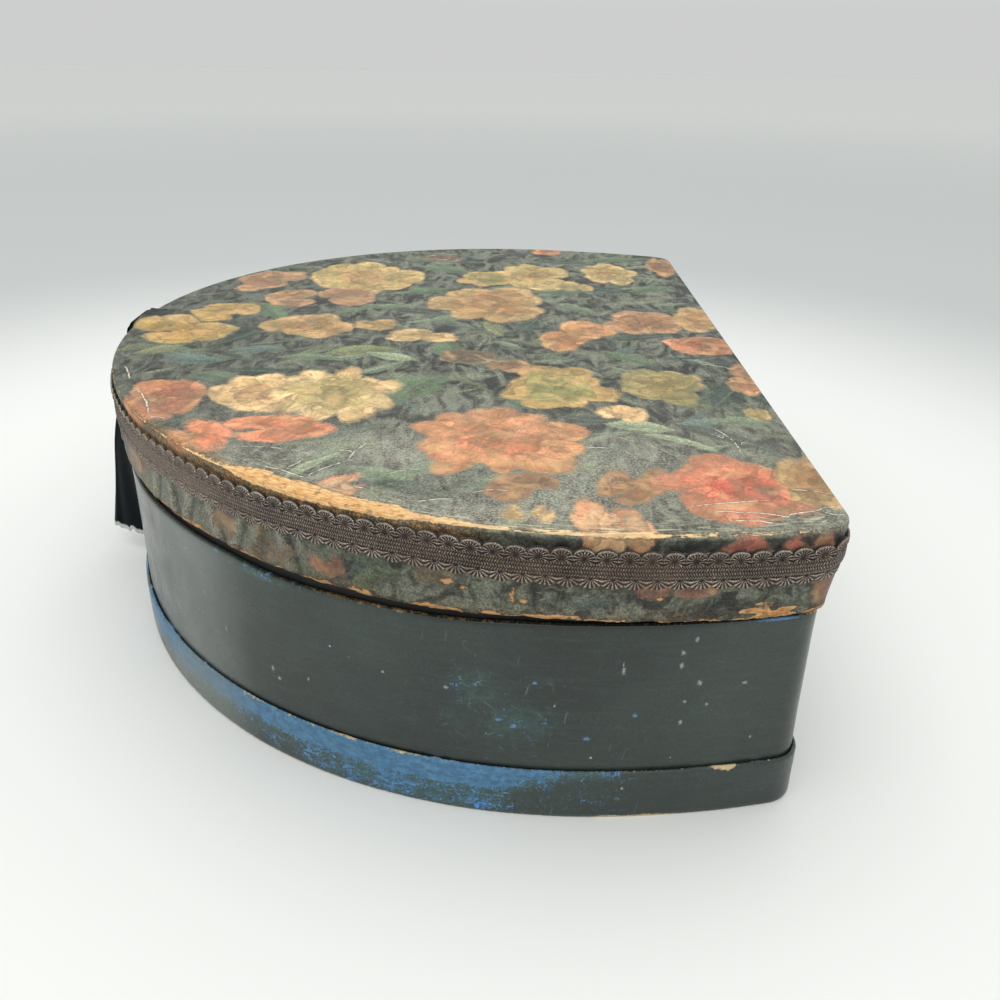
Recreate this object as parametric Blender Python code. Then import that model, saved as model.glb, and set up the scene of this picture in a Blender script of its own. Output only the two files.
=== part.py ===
"""D-shaped pasteboard keepsake box with a lift-off lid, a gimp trim and a velvet pull ribbon.

Metres, +Z up. The straight side faces +X and the rounded end faces -X. The box stands on z = 0, and
the origin is under the middle of its bounding box. The lid rides tilted on a neck that is cut higher
at the rounded end.
"""

import math

import bmesh
import bpy
import numpy as np

# Plan of the body's outer face: a half round, two gently bowed side runs and a straight side
BODY_WIDTH = 0.360
SIDE_RUN = 0.071
CORNER_DRAW_IN = 0.009
CORNER_RADIUS = 0.0095
LEAST_RADIUS = 0.001

# Body
BODY_HEIGHT = 0.0703
WALL_THICKNESS = 0.002
FLOOR_THICKNESS = 0.0025
FOOT_BAND_HEIGHT = 0.018
FOOT_BAND_THICKNESS = 0.0012
NECK_THICKNESS = 0.0015

# Lid
LID_HEIGHT = 0.0273
LID_PANEL_THICKNESS = 0.0024
LID_PANEL_OVERHANG = 0.0005
LID_PANEL_ROUNDING = 0.0009
LID_RIM_THICKNESS = 0.0018
LID_RIM_PLAY = 0.0026
LID_SLIDE = 0.0008
LID_STANDOFF = 0.0017
LID_TILT = math.radians(1.32)

# Gimp trim round the lid
GIMP_WIDTH = 0.012
GIMP_THICKNESS = 0.0013
GIMP_DROP = 0.0102
GIMP_SCALLOP_PITCH = 0.006
GIMP_SCALLOP_DEPTH = 0.0013

# Pull ribbon at the rounded end
RIBBON_WIDTH = 0.020
RIBBON_THICKNESS = 0.0008
RIBBON_SIDESTEP = 0.003
RIBBON_FLAP = 0.018
RIBBON_DROP = 0.0965
RIBBON_FLARE = 0.0095
RIBBON_SWING = 0.018
RIBBON_TWIST = math.radians(-65)
RIBBON_BEND_RADIUS = 0.0012
SLOT_MARGIN = 0.007

# The ribbon swings sideways over this share of its fall, and flares out by this power of it
SWING_SHARE = 0.6
FLARE_POWER = 0.45

# Gap between pieces that touch
GAP = 0.0003

# Smoothness
END_SEGMENTS = 40
RUN_SEGMENTS = 6
CORNER_SEGMENTS = 5
ROUNDING_STEPS = 2
COLUMNS_PER_SCALLOP = 3
BEND_STEPS = 3
FALL_STEPS = 16
SHARP_ANGLE = math.radians(35)

# Offsets of the faces from the body's outer face, outwards
END_RADIUS = BODY_WIDTH / 2
BAND_INNER = GAP
BAND_OUTER = BAND_INNER + FOOT_BAND_THICKNESS
WALL_INNER = -WALL_THICKNESS
NECK_OUTER = WALL_INNER - GAP
NECK_INNER = NECK_OUTER - NECK_THICKNESS
RIM_INNER = NECK_OUTER + LID_RIM_PLAY
RIM_OUTER = RIM_INNER + LID_RIM_THICKNESS
PANEL_EDGE = RIM_OUTER + LID_PANEL_OVERHANG
GIMP_INNER = RIM_OUTER + GAP
GIMP_OUTER = GIMP_INNER + GIMP_THICKNESS

# Heights in the lid's own frame, from the rim's lower edge
PANEL_UNDERSIDE = LID_HEIGHT - LID_PANEL_THICKNESS
GIMP_MIDDLE = LID_HEIGHT - GIMP_DROP

COLOURS = {
    "floor_panel": (0.30, 0.27, 0.21),
    "body_wall": (0.055, 0.070, 0.066),
    "foot_band": (0.060, 0.120, 0.170),
    "neck_band": (0.020, 0.024, 0.023),
    "lid_panel": (0.12, 0.15, 0.13),
    "lid_rim": (0.075, 0.088, 0.080),
    "gimp_trim": (0.135, 0.110, 0.095),
    "pull_ribbon": (0.010, 0.020, 0.022),
}


def arc(centre, radius, start, end, steps):
    """Points along an arc, its start left out so that arcs can follow each other."""
    turns = [start + (end - start) * i / steps for i in range(1, steps + 1)]
    return [(centre[0] + radius * math.cos(t), centre[1] + radius * math.sin(t)) for t in turns]


def outline(offset, finer=1):
    """The plan grown outwards by offset, anticlockwise from above, starting on the straight side."""
    run_radius = (SIDE_RUN**2 + CORNER_DRAW_IN**2) / (2 * CORNER_DRAW_IN)
    run_centre = (-SIDE_RUN, END_RADIUS - run_radius)
    run_radius += offset
    corner_radius = max(CORNER_RADIUS + offset, LEAST_RADIUS)
    corner_x = offset - corner_radius
    reach = run_radius - corner_radius
    corner_y = run_centre[1] + math.sqrt(reach**2 - (corner_x - run_centre[0]) ** 2)
    meeting = math.atan2(corner_y - run_centre[1], corner_x - run_centre[0])
    quarter = math.pi / 2
    half = [(offset, corner_y)]
    half += arc((corner_x, corner_y), corner_radius, 0, meeting, CORNER_SEGMENTS * finer)
    half += arc(run_centre, run_radius, meeting, quarter, RUN_SEGMENTS * finer)
    end = (-SIDE_RUN, 0)
    half += arc(end, END_RADIUS + offset, quarter, 2 * quarter, END_SEGMENTS * finer // 2)
    return half + [(x, -y) for x, y in reversed(half[:-1])]


def even_outline(offset, count):
    """The same plan as count points at even spacing."""
    points = np.array(outline(offset, finer=4))
    closed = np.vstack([points, points[:1]])
    along = np.concatenate([[0], np.cumsum(np.linalg.norm(np.diff(closed, axis=0), axis=1))])
    places = np.arange(count) * along[-1] / count
    return np.column_stack([np.interp(places, along, closed[:, k]) for k in (0, 1)])


def perimeter(offset):
    points = np.array(outline(offset, finer=4))
    return float(np.linalg.norm(np.roll(points, -1, axis=0) - points, axis=1).sum())


def make_material(name):
    material = bpy.data.materials.new(name)
    material.use_nodes = True
    shader = material.node_tree.nodes["Principled BSDF"]
    shader.inputs["Base Color"].default_value = (*COLOURS[name], 1)
    shader.inputs["Roughness"].default_value = 0.45 if name in ("body_wall", "foot_band") else 0.85
    shader.inputs["Metallic"].default_value = 0
    return material


def make_object(name, loops, parent, ends_capped):
    """An object whose skin runs through the loops, closed by end caps or back to the first loop."""
    shape = bmesh.new()
    rows = [[shape.verts.new(point) for point in loop] for loop in loops]
    pairs = list(zip(rows, rows[1:])) if ends_capped else list(zip(rows, rows[1:] + rows[:1]))
    for low, high in pairs:
        for i, vertex in enumerate(low):
            j = (i + 1) % len(low)
            shape.faces.new((vertex, low[j], high[j], high[i]))
    if ends_capped:
        shape.faces.new(reversed(rows[0]))
        shape.faces.new(rows[-1])
    bmesh.ops.recalc_face_normals(shape, faces=shape.faces)
    mesh = bpy.data.meshes.new(name)
    shape.to_mesh(mesh)
    shape.free()
    mesh.shade_smooth()
    mesh.set_sharp_from_angle(angle=SHARP_ANGLE)
    made = bpy.data.objects.new(name, mesh)
    bpy.context.scene.collection.objects.link(made)
    made.parent = parent
    if name in COLOURS:
        mesh.materials.append(make_material(name))
    return made


def at_height(points, height):
    return [(x, y, height) for x, y in points]


def make_hoop(name, inner, outer, low, high, parent):
    """A hoop between two offsets, from low up to high(x), which may slope along X."""
    loops = []
    for offset, top in ((outer, False), (outer, True), (inner, True), (inner, False)):
        loops.append([(x, y, high(x) if top else low) for x, y in outline(offset)])
    return make_object(name, loops, parent, ends_capped=False)


def lid_underside(x):
    """Height of the lid panel's underside above the table, at x in the body's frame."""
    slope = math.tan(LID_TILT)
    pivot = BODY_HEIGHT + LID_STANDOFF
    x_over_pivot = LID_SLIDE + PANEL_UNDERSIDE * math.sin(LID_TILT)
    return pivot + PANEL_UNDERSIDE * math.cos(LID_TILT) - (x - x_over_pivot) * slope


def make_body(frame):
    floor_edge = at_height(outline(NECK_OUTER), 0), at_height(outline(NECK_OUTER), FLOOR_THICKNESS)
    make_object("floor_panel", floor_edge, frame, ends_capped=True)
    make_hoop("body_wall", WALL_INNER, 0, 0, lambda x: BODY_HEIGHT, frame)
    make_hoop("foot_band", BAND_INNER, BAND_OUTER, 0, lambda x: FOOT_BAND_HEIGHT, frame)
    make_hoop("neck_band", NECK_INNER, NECK_OUTER, FLOOR_THICKNESS + GAP, lambda x: lid_underside(x) - GAP, frame)


def make_lid_panel(lid):
    """The top board, its upper edge rounded over, with the ribbon's slot cut through it."""
    loops = [at_height(outline(PANEL_EDGE), PANEL_UNDERSIDE)]
    for i in range(ROUNDING_STEPS + 1):
        turn = math.pi / 2 * i / ROUNDING_STEPS
        inset = LID_PANEL_ROUNDING * (1 - math.cos(turn))
        rise = LID_PANEL_ROUNDING * (1 - math.sin(turn))
        loops.append(at_height(outline(PANEL_EDGE - inset), LID_HEIGHT - rise))
    panel = make_object("lid_panel", loops, lid, ends_capped=True)
    half_x = RIBBON_THICKNESS / 2 + GAP
    half_y = RIBBON_WIDTH / 2 + GAP
    corners = [(-half_x, -half_y), (half_x, -half_y), (half_x, half_y), (-half_x, half_y)]
    corners = [(x + slot_x(), y + RIBBON_SIDESTEP) for x, y in corners]
    over = LID_PANEL_THICKNESS
    levels = at_height(corners, PANEL_UNDERSIDE - over), at_height(corners, LID_HEIGHT + over)
    cutter = make_object("slot_cutter", levels, lid, ends_capped=True)
    cutter.hide_render = True
    cutter.display_type = "WIRE"
    cut = panel.modifiers.new("ribbon slot", "BOOLEAN")
    cut.operation = "DIFFERENCE"
    cut.solver = "EXACT"
    cut.object = cutter


def make_gimp(lid):
    """A flat braid whose two edges are scalloped."""
    scallops = round(perimeter(GIMP_INNER) / GIMP_SCALLOP_PITCH)
    count = scallops * COLUMNS_PER_SCALLOP
    reach = []
    for i in range(count):
        phase = math.pi * (i % COLUMNS_PER_SCALLOP) / COLUMNS_PER_SCALLOP
        reach.append(GIMP_WIDTH / 2 - GIMP_SCALLOP_DEPTH * (1 - math.sin(phase)))
    loops = []
    for offset, side in ((GIMP_OUTER, -1), (GIMP_OUTER, 1), (GIMP_INNER, 1), (GIMP_INNER, -1)):
        plan = even_outline(offset, count)
        loops.append([(x, y, GIMP_MIDDLE + side * r) for (x, y), r in zip(plan, reach)])
    make_object("gimp_trim", loops, lid, ends_capped=False)


def apex_x(offset):
    return -(SIDE_RUN + END_RADIUS + offset)


def slot_x():
    """The slot lies inside the neck by a margin, in the lid's frame."""
    return apex_x(RIM_INNER) + LID_RIM_PLAY + NECK_THICKNESS + SLOT_MARGIN


def rounded(corner, before, after, radius):
    """Points of a right-angled bend at corner, between the directions before and after."""
    corner, before, after = np.array(corner), np.array(before), np.array(after)
    centre = corner - before * radius + after * radius
    turns = [math.pi / 2 * i / BEND_STEPS for i in range(BEND_STEPS + 1)]
    return [tuple(centre + radius * (before * math.sin(t) - after * math.cos(t))) for t in turns]


def ribbon_stations():
    """The ribbon's middle line as (x, y, z, twist) in the lid's frame, from its glued end to its free one."""
    half = RIBBON_THICKNESS / 2
    above = LID_HEIGHT + GAP + half
    below = PANEL_UNDERSIDE - GAP - half
    hang_x = apex_x(max(PANEL_EDGE, GIMP_OUTER)) - GAP - half
    tight = min(RIBBON_BEND_RADIUS, LID_PANEL_THICKNESS / 2)
    path = [(slot_x() + RIBBON_FLAP, below)]
    path += rounded((slot_x(), below), (-1, 0), (0, 1), tight)
    path += rounded((slot_x(), above), (0, 1), (-1, 0), tight)
    path += rounded((hang_x, above), (-1, 0), (0, -1), RIBBON_BEND_RADIUS)
    stations = [(x, RIBBON_SIDESTEP, z, 0.0) for x, z in path]
    start = above - RIBBON_BEND_RADIUS
    for i in range(1, FALL_STEPS + 1):
        fallen = i / FALL_STEPS
        swung = min(1, fallen / SWING_SHARE)
        x = hang_x - RIBBON_FLARE * fallen**FLARE_POWER
        y = RIBBON_SIDESTEP - RIBBON_SWING * (3 - 2 * swung) * swung**2
        z = start - (RIBBON_DROP - RIBBON_BEND_RADIUS) * fallen
        stations.append((x, y, z, RIBBON_TWIST * fallen))
    return np.array(stations)


def make_ribbon(lid):
    stations = ribbon_stations()
    middle = stations[:, :3]
    along = np.gradient(middle, axis=0)
    along /= np.linalg.norm(along, axis=1)[:, None]
    across = np.column_stack([np.sin(stations[:, 3]), np.cos(stations[:, 3]), np.zeros(len(stations))])
    out = np.cross(across, along)
    out /= np.linalg.norm(out, axis=1)[:, None]
    edge, face = across * RIBBON_WIDTH / 2, out * RIBBON_THICKNESS / 2
    corners = (middle - edge - face, middle + edge - face, middle + edge + face, middle - edge + face)
    loops = [[tuple(corner[i]) for corner in corners] for i in range(len(middle))]
    make_object("pull_ribbon", loops, lid, ends_capped=True)


def make_empty(name, parent=None):
    empty = bpy.data.objects.new(name, None)
    bpy.context.scene.collection.objects.link(empty)
    empty.parent = parent
    return empty


def centre_over_floor(frame):
    """Moves the box so that the origin is under the middle of its bounding box."""
    bpy.context.view_layer.update()
    graph = bpy.context.evaluated_depsgraph_get()
    corners = []
    for made in bpy.context.scene.objects:
        if made.type == "MESH" and not made.hide_render:
            evaluated = made.evaluated_get(graph)
            mesh = evaluated.to_mesh()
            corners += [evaluated.matrix_world @ vertex.co for vertex in mesh.vertices]
            evaluated.to_mesh_clear()
    corners = np.array(corners)
    middle = (corners.min(axis=0) + corners.max(axis=0)) / 2
    frame.location = (-middle[0], -middle[1], -corners[:, 2].min())


def main():
    for made in list(bpy.data.objects):
        bpy.data.objects.remove(made, do_unlink=True)
    frame = make_empty("box_frame")
    make_body(frame)
    lid = make_empty("lid_frame", frame)
    lid.location = (LID_SLIDE, 0, BODY_HEIGHT + LID_STANDOFF)
    lid.rotation_euler = (0, LID_TILT, 0)
    make_lid_panel(lid)
    make_hoop("lid_rim", RIM_INNER, RIM_OUTER, 0, lambda x: PANEL_UNDERSIDE - GAP, lid)
    make_gimp(lid)
    make_ribbon(lid)
    centre_over_floor(frame)


main()
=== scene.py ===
"""Looks of the half-round storage box: printed paper lid, braid trim, pull ribbon and worn painted body."""

import math

import bpy
import numpy as np
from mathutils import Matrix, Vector


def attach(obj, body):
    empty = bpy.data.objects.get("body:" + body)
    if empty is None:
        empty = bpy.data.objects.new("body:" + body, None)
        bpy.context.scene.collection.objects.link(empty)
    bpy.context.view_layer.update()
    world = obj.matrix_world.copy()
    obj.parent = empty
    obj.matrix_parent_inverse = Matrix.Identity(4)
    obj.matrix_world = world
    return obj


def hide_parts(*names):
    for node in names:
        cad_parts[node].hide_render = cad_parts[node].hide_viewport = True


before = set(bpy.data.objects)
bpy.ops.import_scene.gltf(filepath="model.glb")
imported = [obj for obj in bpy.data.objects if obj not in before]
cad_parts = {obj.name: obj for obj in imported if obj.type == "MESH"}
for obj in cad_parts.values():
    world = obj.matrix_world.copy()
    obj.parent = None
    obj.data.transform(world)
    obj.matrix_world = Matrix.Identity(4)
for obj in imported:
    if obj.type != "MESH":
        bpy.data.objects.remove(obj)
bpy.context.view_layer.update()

# The part's own sizes, in metres.
BODY_WIDTH = 0.360
SIDE_RUN = 0.071
CORNER_DRAW_IN = 0.009
CORNER_RADIUS = 0.0095
LEAST_RADIUS = 0.001
BODY_HEIGHT = 0.0703
WALL_THICKNESS = 0.002
FOOT_BAND_HEIGHT = 0.018
LID_HEIGHT = 0.0273
LID_SLIDE = 0.0008
LID_STANDOFF = 0.0017
LID_TILT = math.radians(1.32)
RIM_INNER = 0.0003
RIM_OUTER = 0.0021
PANEL_EDGE = 0.0026
PANEL_UNDERSIDE = 0.0249
LID_PANEL_THICKNESS = 0.0024
NECK_THICKNESS = 0.0015
LID_RIM_PLAY = 0.0026
GIMP_MIDDLE = 0.0171
GIMP_INNER = 0.0024
GIMP_OUTER = 0.0037
GIMP_SCALLOP_PITCH = 0.006
RIBBON_WIDTH = 0.020
RIBBON_THICKNESS = 0.0008
RIBBON_SIDESTEP = 0.003
RIBBON_FLAP = 0.018
RIBBON_DROP = 0.0965
RIBBON_FLARE = 0.0095
RIBBON_SWING = 0.018
RIBBON_TWIST = math.radians(-65)
RIBBON_BEND_RADIUS = 0.0012
SLOT_MARGIN = 0.007
SWING_SHARE = 0.6
FLARE_POWER = 0.45
GAP = 0.0003
END_RADIUS = BODY_WIDTH / 2
# Where the plan's x = 0 lies in the frame.
STRAIGHT_SIDE_X = 0.13491

# The outline's length in whole millimetres, with which every table by place along the outline ends.
ROUND_MM = 1046
# Columns of points round the painted hoops, across one scallop of the braid, and along the ribbon's path.
PAINTED_COLUMNS = 700
SCALLOP_COLUMNS = 12
FALL_STEPS = 60
# The braid's lower scallops sit this share of a pitch off the upper ones. Its centres are in millimetres.
LOW_SCALLOP_SHIFT = 0.65
SCALLOP_MM = 6.0
SCALLOP_CENTRE = 3.1
# Height at which the paper on the lid's side ends under the braid.
SIDE_PAPER_TOP = 0.0219
# The strokes and leaves scattered under the flowers, on top and round the side.
TOP_STROKES = 260
SIDE_STROKES = 110


def arc(centre, radius, start, end, steps):
    """Points of an arc after its start."""
    turns = [start + (end - start) * i / steps for i in range(1, steps + 1)]
    return [(centre[0] + radius * math.cos(t), centre[1] + radius * math.sin(t)) for t in turns]


def outline(offset):
    """The part's plan, anticlockwise from the straight side, this far outside the body's face."""
    run_radius = (SIDE_RUN**2 + CORNER_DRAW_IN**2) / (2 * CORNER_DRAW_IN)
    run_centre = (-SIDE_RUN, END_RADIUS - run_radius)
    run_radius += offset
    corner_radius = max(CORNER_RADIUS + offset, LEAST_RADIUS)
    corner_x = offset - corner_radius
    reach = run_radius - corner_radius
    corner_y = run_centre[1] + math.sqrt(reach**2 - (corner_x - run_centre[0]) ** 2)
    meeting = math.atan2(corner_y - run_centre[1], corner_x - run_centre[0])
    half = [(offset, corner_y)]
    half += arc((corner_x, corner_y), corner_radius, 0, meeting, 30)
    half += arc(run_centre, run_radius, meeting, math.pi / 2, 36)
    half += arc((-SIDE_RUN, 0), END_RADIUS + offset, math.pi / 2, math.pi, 120)
    return half + [(x, -y) for x, y in reversed(half[:-1])]


def closed_plan(offset):
    """The plan with points along the straight side too, back to its first point."""
    open_plan = np.array(outline(offset))
    side = np.linspace(open_plan[-1], open_plan[0], 242)[1:-1]
    return np.vstack([open_plan, side, open_plan[:1]])


FACE = closed_plan(0.0)
OUTWARD = (closed_plan(0.001) - FACE) / 0.001
ALONG = np.concatenate([[0], np.cumsum(np.linalg.norm(np.diff(FACE, axis=0), axis=1))])
PERIMETER = ALONG[-1]


def on_plan(s, offset):
    """Points at s metres along the body's face, moved outward by offset."""
    s = np.asarray(s) % PERIMETER
    place = np.stack([np.interp(s, ALONG, FACE[:, k]) for k in (0, 1)], -1)
    outward = np.stack([np.interp(s, ALONG, OUTWARD[:, k]) for k in (0, 1)], -1)
    return place + outward * np.asarray(offset)[..., None]


def body_place(x, y, z):
    """From the plan's own place to the frame."""
    return np.stack([x + STRAIGHT_SIDE_X, y, z], -1)


def lid_place(x, y, z):
    """From the lid's own place, tilted and slid, to the frame."""
    c, s = math.cos(LID_TILT), math.sin(LID_TILT)
    lifted = BODY_HEIGHT + LID_STANDOFF
    return np.stack([x * c + z * s + LID_SLIDE + STRAIGHT_SIDE_X, y, z * c - x * s + lifted], -1)


def lattice(ix, iy, seed):
    """A fixed number from 0 to 1 for each whole ix, iy."""
    n = (ix * 374761393 + iy * 668265263 + int(seed) * 974634777) & 0x7FFFFFFF
    n = ((n ^ (n >> 13)) * 1274126177) & 0x7FFFFFFF
    return ((n ^ (n >> 16)) & 0xFFFF) / 65535.0


def noise(x, y, seed=0):
    """Smooth value noise from 0 to 1, with a cell of 1."""
    x, y = np.broadcast_arrays(np.asarray(x, float), np.asarray(y, float))
    ix, iy = np.floor(x).astype(np.int64), np.floor(y).astype(np.int64)
    fx, fy = x - ix, y - iy
    fx, fy = fx * fx * (3 - 2 * fx), fy * fy * (3 - 2 * fy)
    low = lattice(ix, iy, seed) * (1 - fx) + lattice(ix + 1, iy, seed) * fx
    high = lattice(ix, iy + 1, seed) * (1 - fx) + lattice(ix + 1, iy + 1, seed) * fx
    return low * (1 - fy) + high * fy


def rough_noise(x, y, seed=0, octaves=3):
    """The same with finer noise added, from 0 to 1."""
    total, weight, size = 0.0, 1.0, 0.0
    for k in range(octaves):
        total = total + weight * noise(x * 2**k, y * 2**k, seed + 17 * k)
        size += weight
        weight *= 0.5
    return total / size


def smooth(low, high, value):
    """0 at low, 1 at high, and a smooth step between."""
    t = np.clip((value - low) / (high - low), 0, 1)
    return t * t * (3 - 2 * t)


def between(value, low, full, still, gone):
    """Rises from 0 at low to 1 at full, and falls from still to gone."""
    return smooth(low, full, value) * smooth(gone, still, value)


def linear(*rgb):
    """A colour given as 0 to 255 on screen, as linear light."""
    c = np.array(rgb) / 255.0
    return np.where(c <= 0.04045, c / 12.92, ((c + 0.055) / 1.055) ** 2.4)


def rgba(*rgb):
    """The same with full cover, for a shader's socket."""
    return (*[float(v) for v in linear(*rgb)], 1.0)


# Materials


class Number:
    """A value that nodes work out, so that sums of such values are written as sums."""

    def __init__(self, finish, socket):
        self.finish = finish
        self.socket = socket

    def __add__(self, other):
        return self.finish.math("ADD", self, other)

    def __sub__(self, other):
        return self.finish.math("SUBTRACT", self, other)

    def __rsub__(self, other):
        return self.finish.math("SUBTRACT", other, self)

    def __mul__(self, other):
        return self.finish.math("MULTIPLY", self, other)

    def __truediv__(self, other):
        return self.finish.math("DIVIDE", self, other)


class Finish:
    """One material and the nodes that make it."""

    def __init__(self, name):
        self.material = bpy.data.materials.new(name)
        self.material.use_nodes = True
        self.tree = self.material.node_tree
        self.shader = self.tree.nodes["Principled BSDF"]

    def node(self, kind, **settings):
        node = self.tree.nodes.new("ShaderNode" + kind)
        for key, value in settings.items():
            setattr(node, key, value)
        return node

    def feed(self, node, **values):
        """Sets a node's inputs by name: an underscore stands for a space."""
        for name, value in values.items():
            self.set(node.inputs[name.replace("_", " ")], value)
        return node

    def set(self, socket, value):
        if isinstance(value, Number):
            value = value.socket
        if isinstance(value, bpy.types.NodeSocket):
            self.tree.links.new(value, socket)
        else:
            socket.default_value = value

    def attribute(self, name, output="Fac"):
        return Number(self, self.node("Attribute", attribute_name=name).outputs[output])

    def where(self, attribute=None, scale=(1, 1, 1)):
        source = self.attribute(attribute, "Vector") if attribute else self.node("TexCoord").outputs["Object"]
        return self.feed(self.node("Mapping"), Vector=source, Scale=scale).outputs["Vector"]

    def streaks(self, attribute, turn, long):
        """Coordinates in which a noise is drawn out long times, along a direction turned by turn radians."""
        mapping = self.node("Mapping", vector_type="TEXTURE")
        self.feed(mapping, Vector=self.where(attribute), Rotation=(0, 0, turn), Scale=(long, 1, 1))
        return mapping.outputs["Vector"]

    def noise(self, vector, scale, detail=3.0, roughness=0.55, distortion=0.0):
        node = self.node("TexNoise")
        self.feed(node, Vector=vector, Scale=scale, Detail=detail, Roughness=roughness, Distortion=distortion)
        return Number(self, node.outputs["Fac"])

    def math(self, operation, a, b=0.0, clamp=False):
        node = self.node("Math", operation=operation, use_clamp=clamp)
        self.set(node.inputs[0], a)
        self.set(node.inputs[1], b)
        return Number(self, node.outputs[0])

    def step(self, value, low, high, to=(0.0, 1.0)):
        """Runs smoothly from to[0] at low to to[1] at high."""
        node = self.node("MapRange", interpolation_type="SMOOTHSTEP")
        self.feed(node, Value=value, From_Min=low, From_Max=high, To_Min=to[0], To_Max=to[1])
        return Number(self, node.outputs[0])

    def mix(self, factor, a, b, blend="MIX"):
        node = self.node("Mix", data_type="RGBA", blend_type=blend)
        self.set(node.inputs[0], factor)
        self.set(node.inputs[6], a)
        self.set(node.inputs[7], b)
        return node.outputs[2]

    def over(self, colour, share, *rgb):
        """This share of a plain colour laid over what is there."""
        return self.mix(share, colour, rgba(*rgb))

    def shaded(self, colour, shade):
        return self.mix(1.0, colour, shade, "MULTIPLY")

    def split(self, vector):
        node = self.feed(self.node("SeparateXYZ"), Vector=vector)
        return [Number(self, part) for part in node.outputs]

    def bump(self, height, distance, strength=1.0, under=None):
        node = self.feed(self.node("Bump"), Distance=distance, Strength=strength, Height=height)
        if under is not None:
            self.set(node.inputs["Normal"], under)
        return node.outputs[0]

    def length(self, vector):
        node = self.node("VectorMath", operation="LENGTH")
        self.set(node.inputs[0], vector)
        return Number(self, node.outputs["Value"])

    def spots(self, vector, places):
        """Distance to the nearest ellipse (s, h, half length, half height), as 1 on its edge."""
        total = None
        for s, h, half_s, half_h in places:
            moved = self.node("Mapping", vector_type="TEXTURE")
            self.feed(moved, Vector=vector, Location=(s, h, 0), Scale=(half_s, half_h, 1))
            far = self.length(moved.outputs[0])
            total = far if total is None else self.math("MINIMUM", total, far)
        return total

    def done(self, colour, roughness, normal=None, **constants):
        self.set(self.shader.inputs["Base Color"], colour)
        self.set(self.shader.inputs["Roughness"], roughness)
        if normal is not None:
            self.set(self.shader.inputs["Normal"], normal)
        self.feed(self.shader, **constants)
        return self.material


# Meshes


def add_piece(name, replaces, finish, points, faces, attributes):
    """Makes a mesh with these attributes on its points, in place of one of the part's solids."""
    mesh = bpy.data.meshes.new(name)
    mesh.from_pydata(np.asarray(points, float).tolist(), [], faces)
    for key, values in attributes.items():
        values = np.asarray(values, np.float32)
        if values.ndim == 1:
            mesh.attributes.new(key, "FLOAT", "POINT").data.foreach_set("value", values)
        elif key.endswith("colour"):
            values = np.column_stack([values, np.ones(len(values), np.float32)])
            mesh.attributes.new(key, "FLOAT_COLOR", "POINT").data.foreach_set("color", values.ravel())
        else:
            mesh.attributes.new(key, "FLOAT_VECTOR", "POINT").data.foreach_set("vector", values.ravel())
    mesh.polygons.foreach_set("use_smooth", [True] * len(mesh.polygons))
    mesh.materials.append(finish)
    piece = bpy.data.objects.new(name, mesh)
    bpy.context.scene.collection.objects.link(piece)
    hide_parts(replaces)
    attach(piece, "root")
    return piece


def quads(columns, rows, wrap_rows=False):
    """Faces of a grid whose point (i, j) is numbered i * rows + j."""
    i, j = np.meshgrid(np.arange(columns - 1), np.arange(rows if wrap_rows else rows - 1), indexing="ij")
    i, j = i.ravel(), j.ravel()
    k = (j + 1) % rows
    return np.stack([i * rows + j, (i + 1) * rows + j, (i + 1) * rows + k, i * rows + k], 1)


def hoop(columns, profile):
    """s, offset and height of the points of a hoop with this closed section of (offset, height)."""
    s = np.repeat(np.linspace(0, PERIMETER, columns + 1), len(profile))
    offset, height = np.tile(np.array(profile), (columns + 1, 1)).T
    return s, offset, height, quads(columns + 1, len(profile), wrap_rows=True)


def line(start, end, steps):
    """Points of a profile from start to end, the end left out."""
    return [tuple(np.array(start) + (np.array(end) - np.array(start)) * k / steps) for k in range(steps)]


def rounded_edge(offset, height, radius):
    """Points of a profile that turns inward over an upper outer edge."""
    turns = [math.pi / 2 * k / 3 for k in range(4)]
    return [(offset - radius * (1 - math.cos(t)), height - radius * (1 - math.sin(t))) for t in turns]


def flat_map(s, height):
    """Place along the outline and up, as the coordinates of a material's patterns."""
    return np.column_stack([s, height, np.zeros(len(s))])


# The printed paper


# A distance in millimetres that counts as away from everything.
FAR = 9.0


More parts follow.
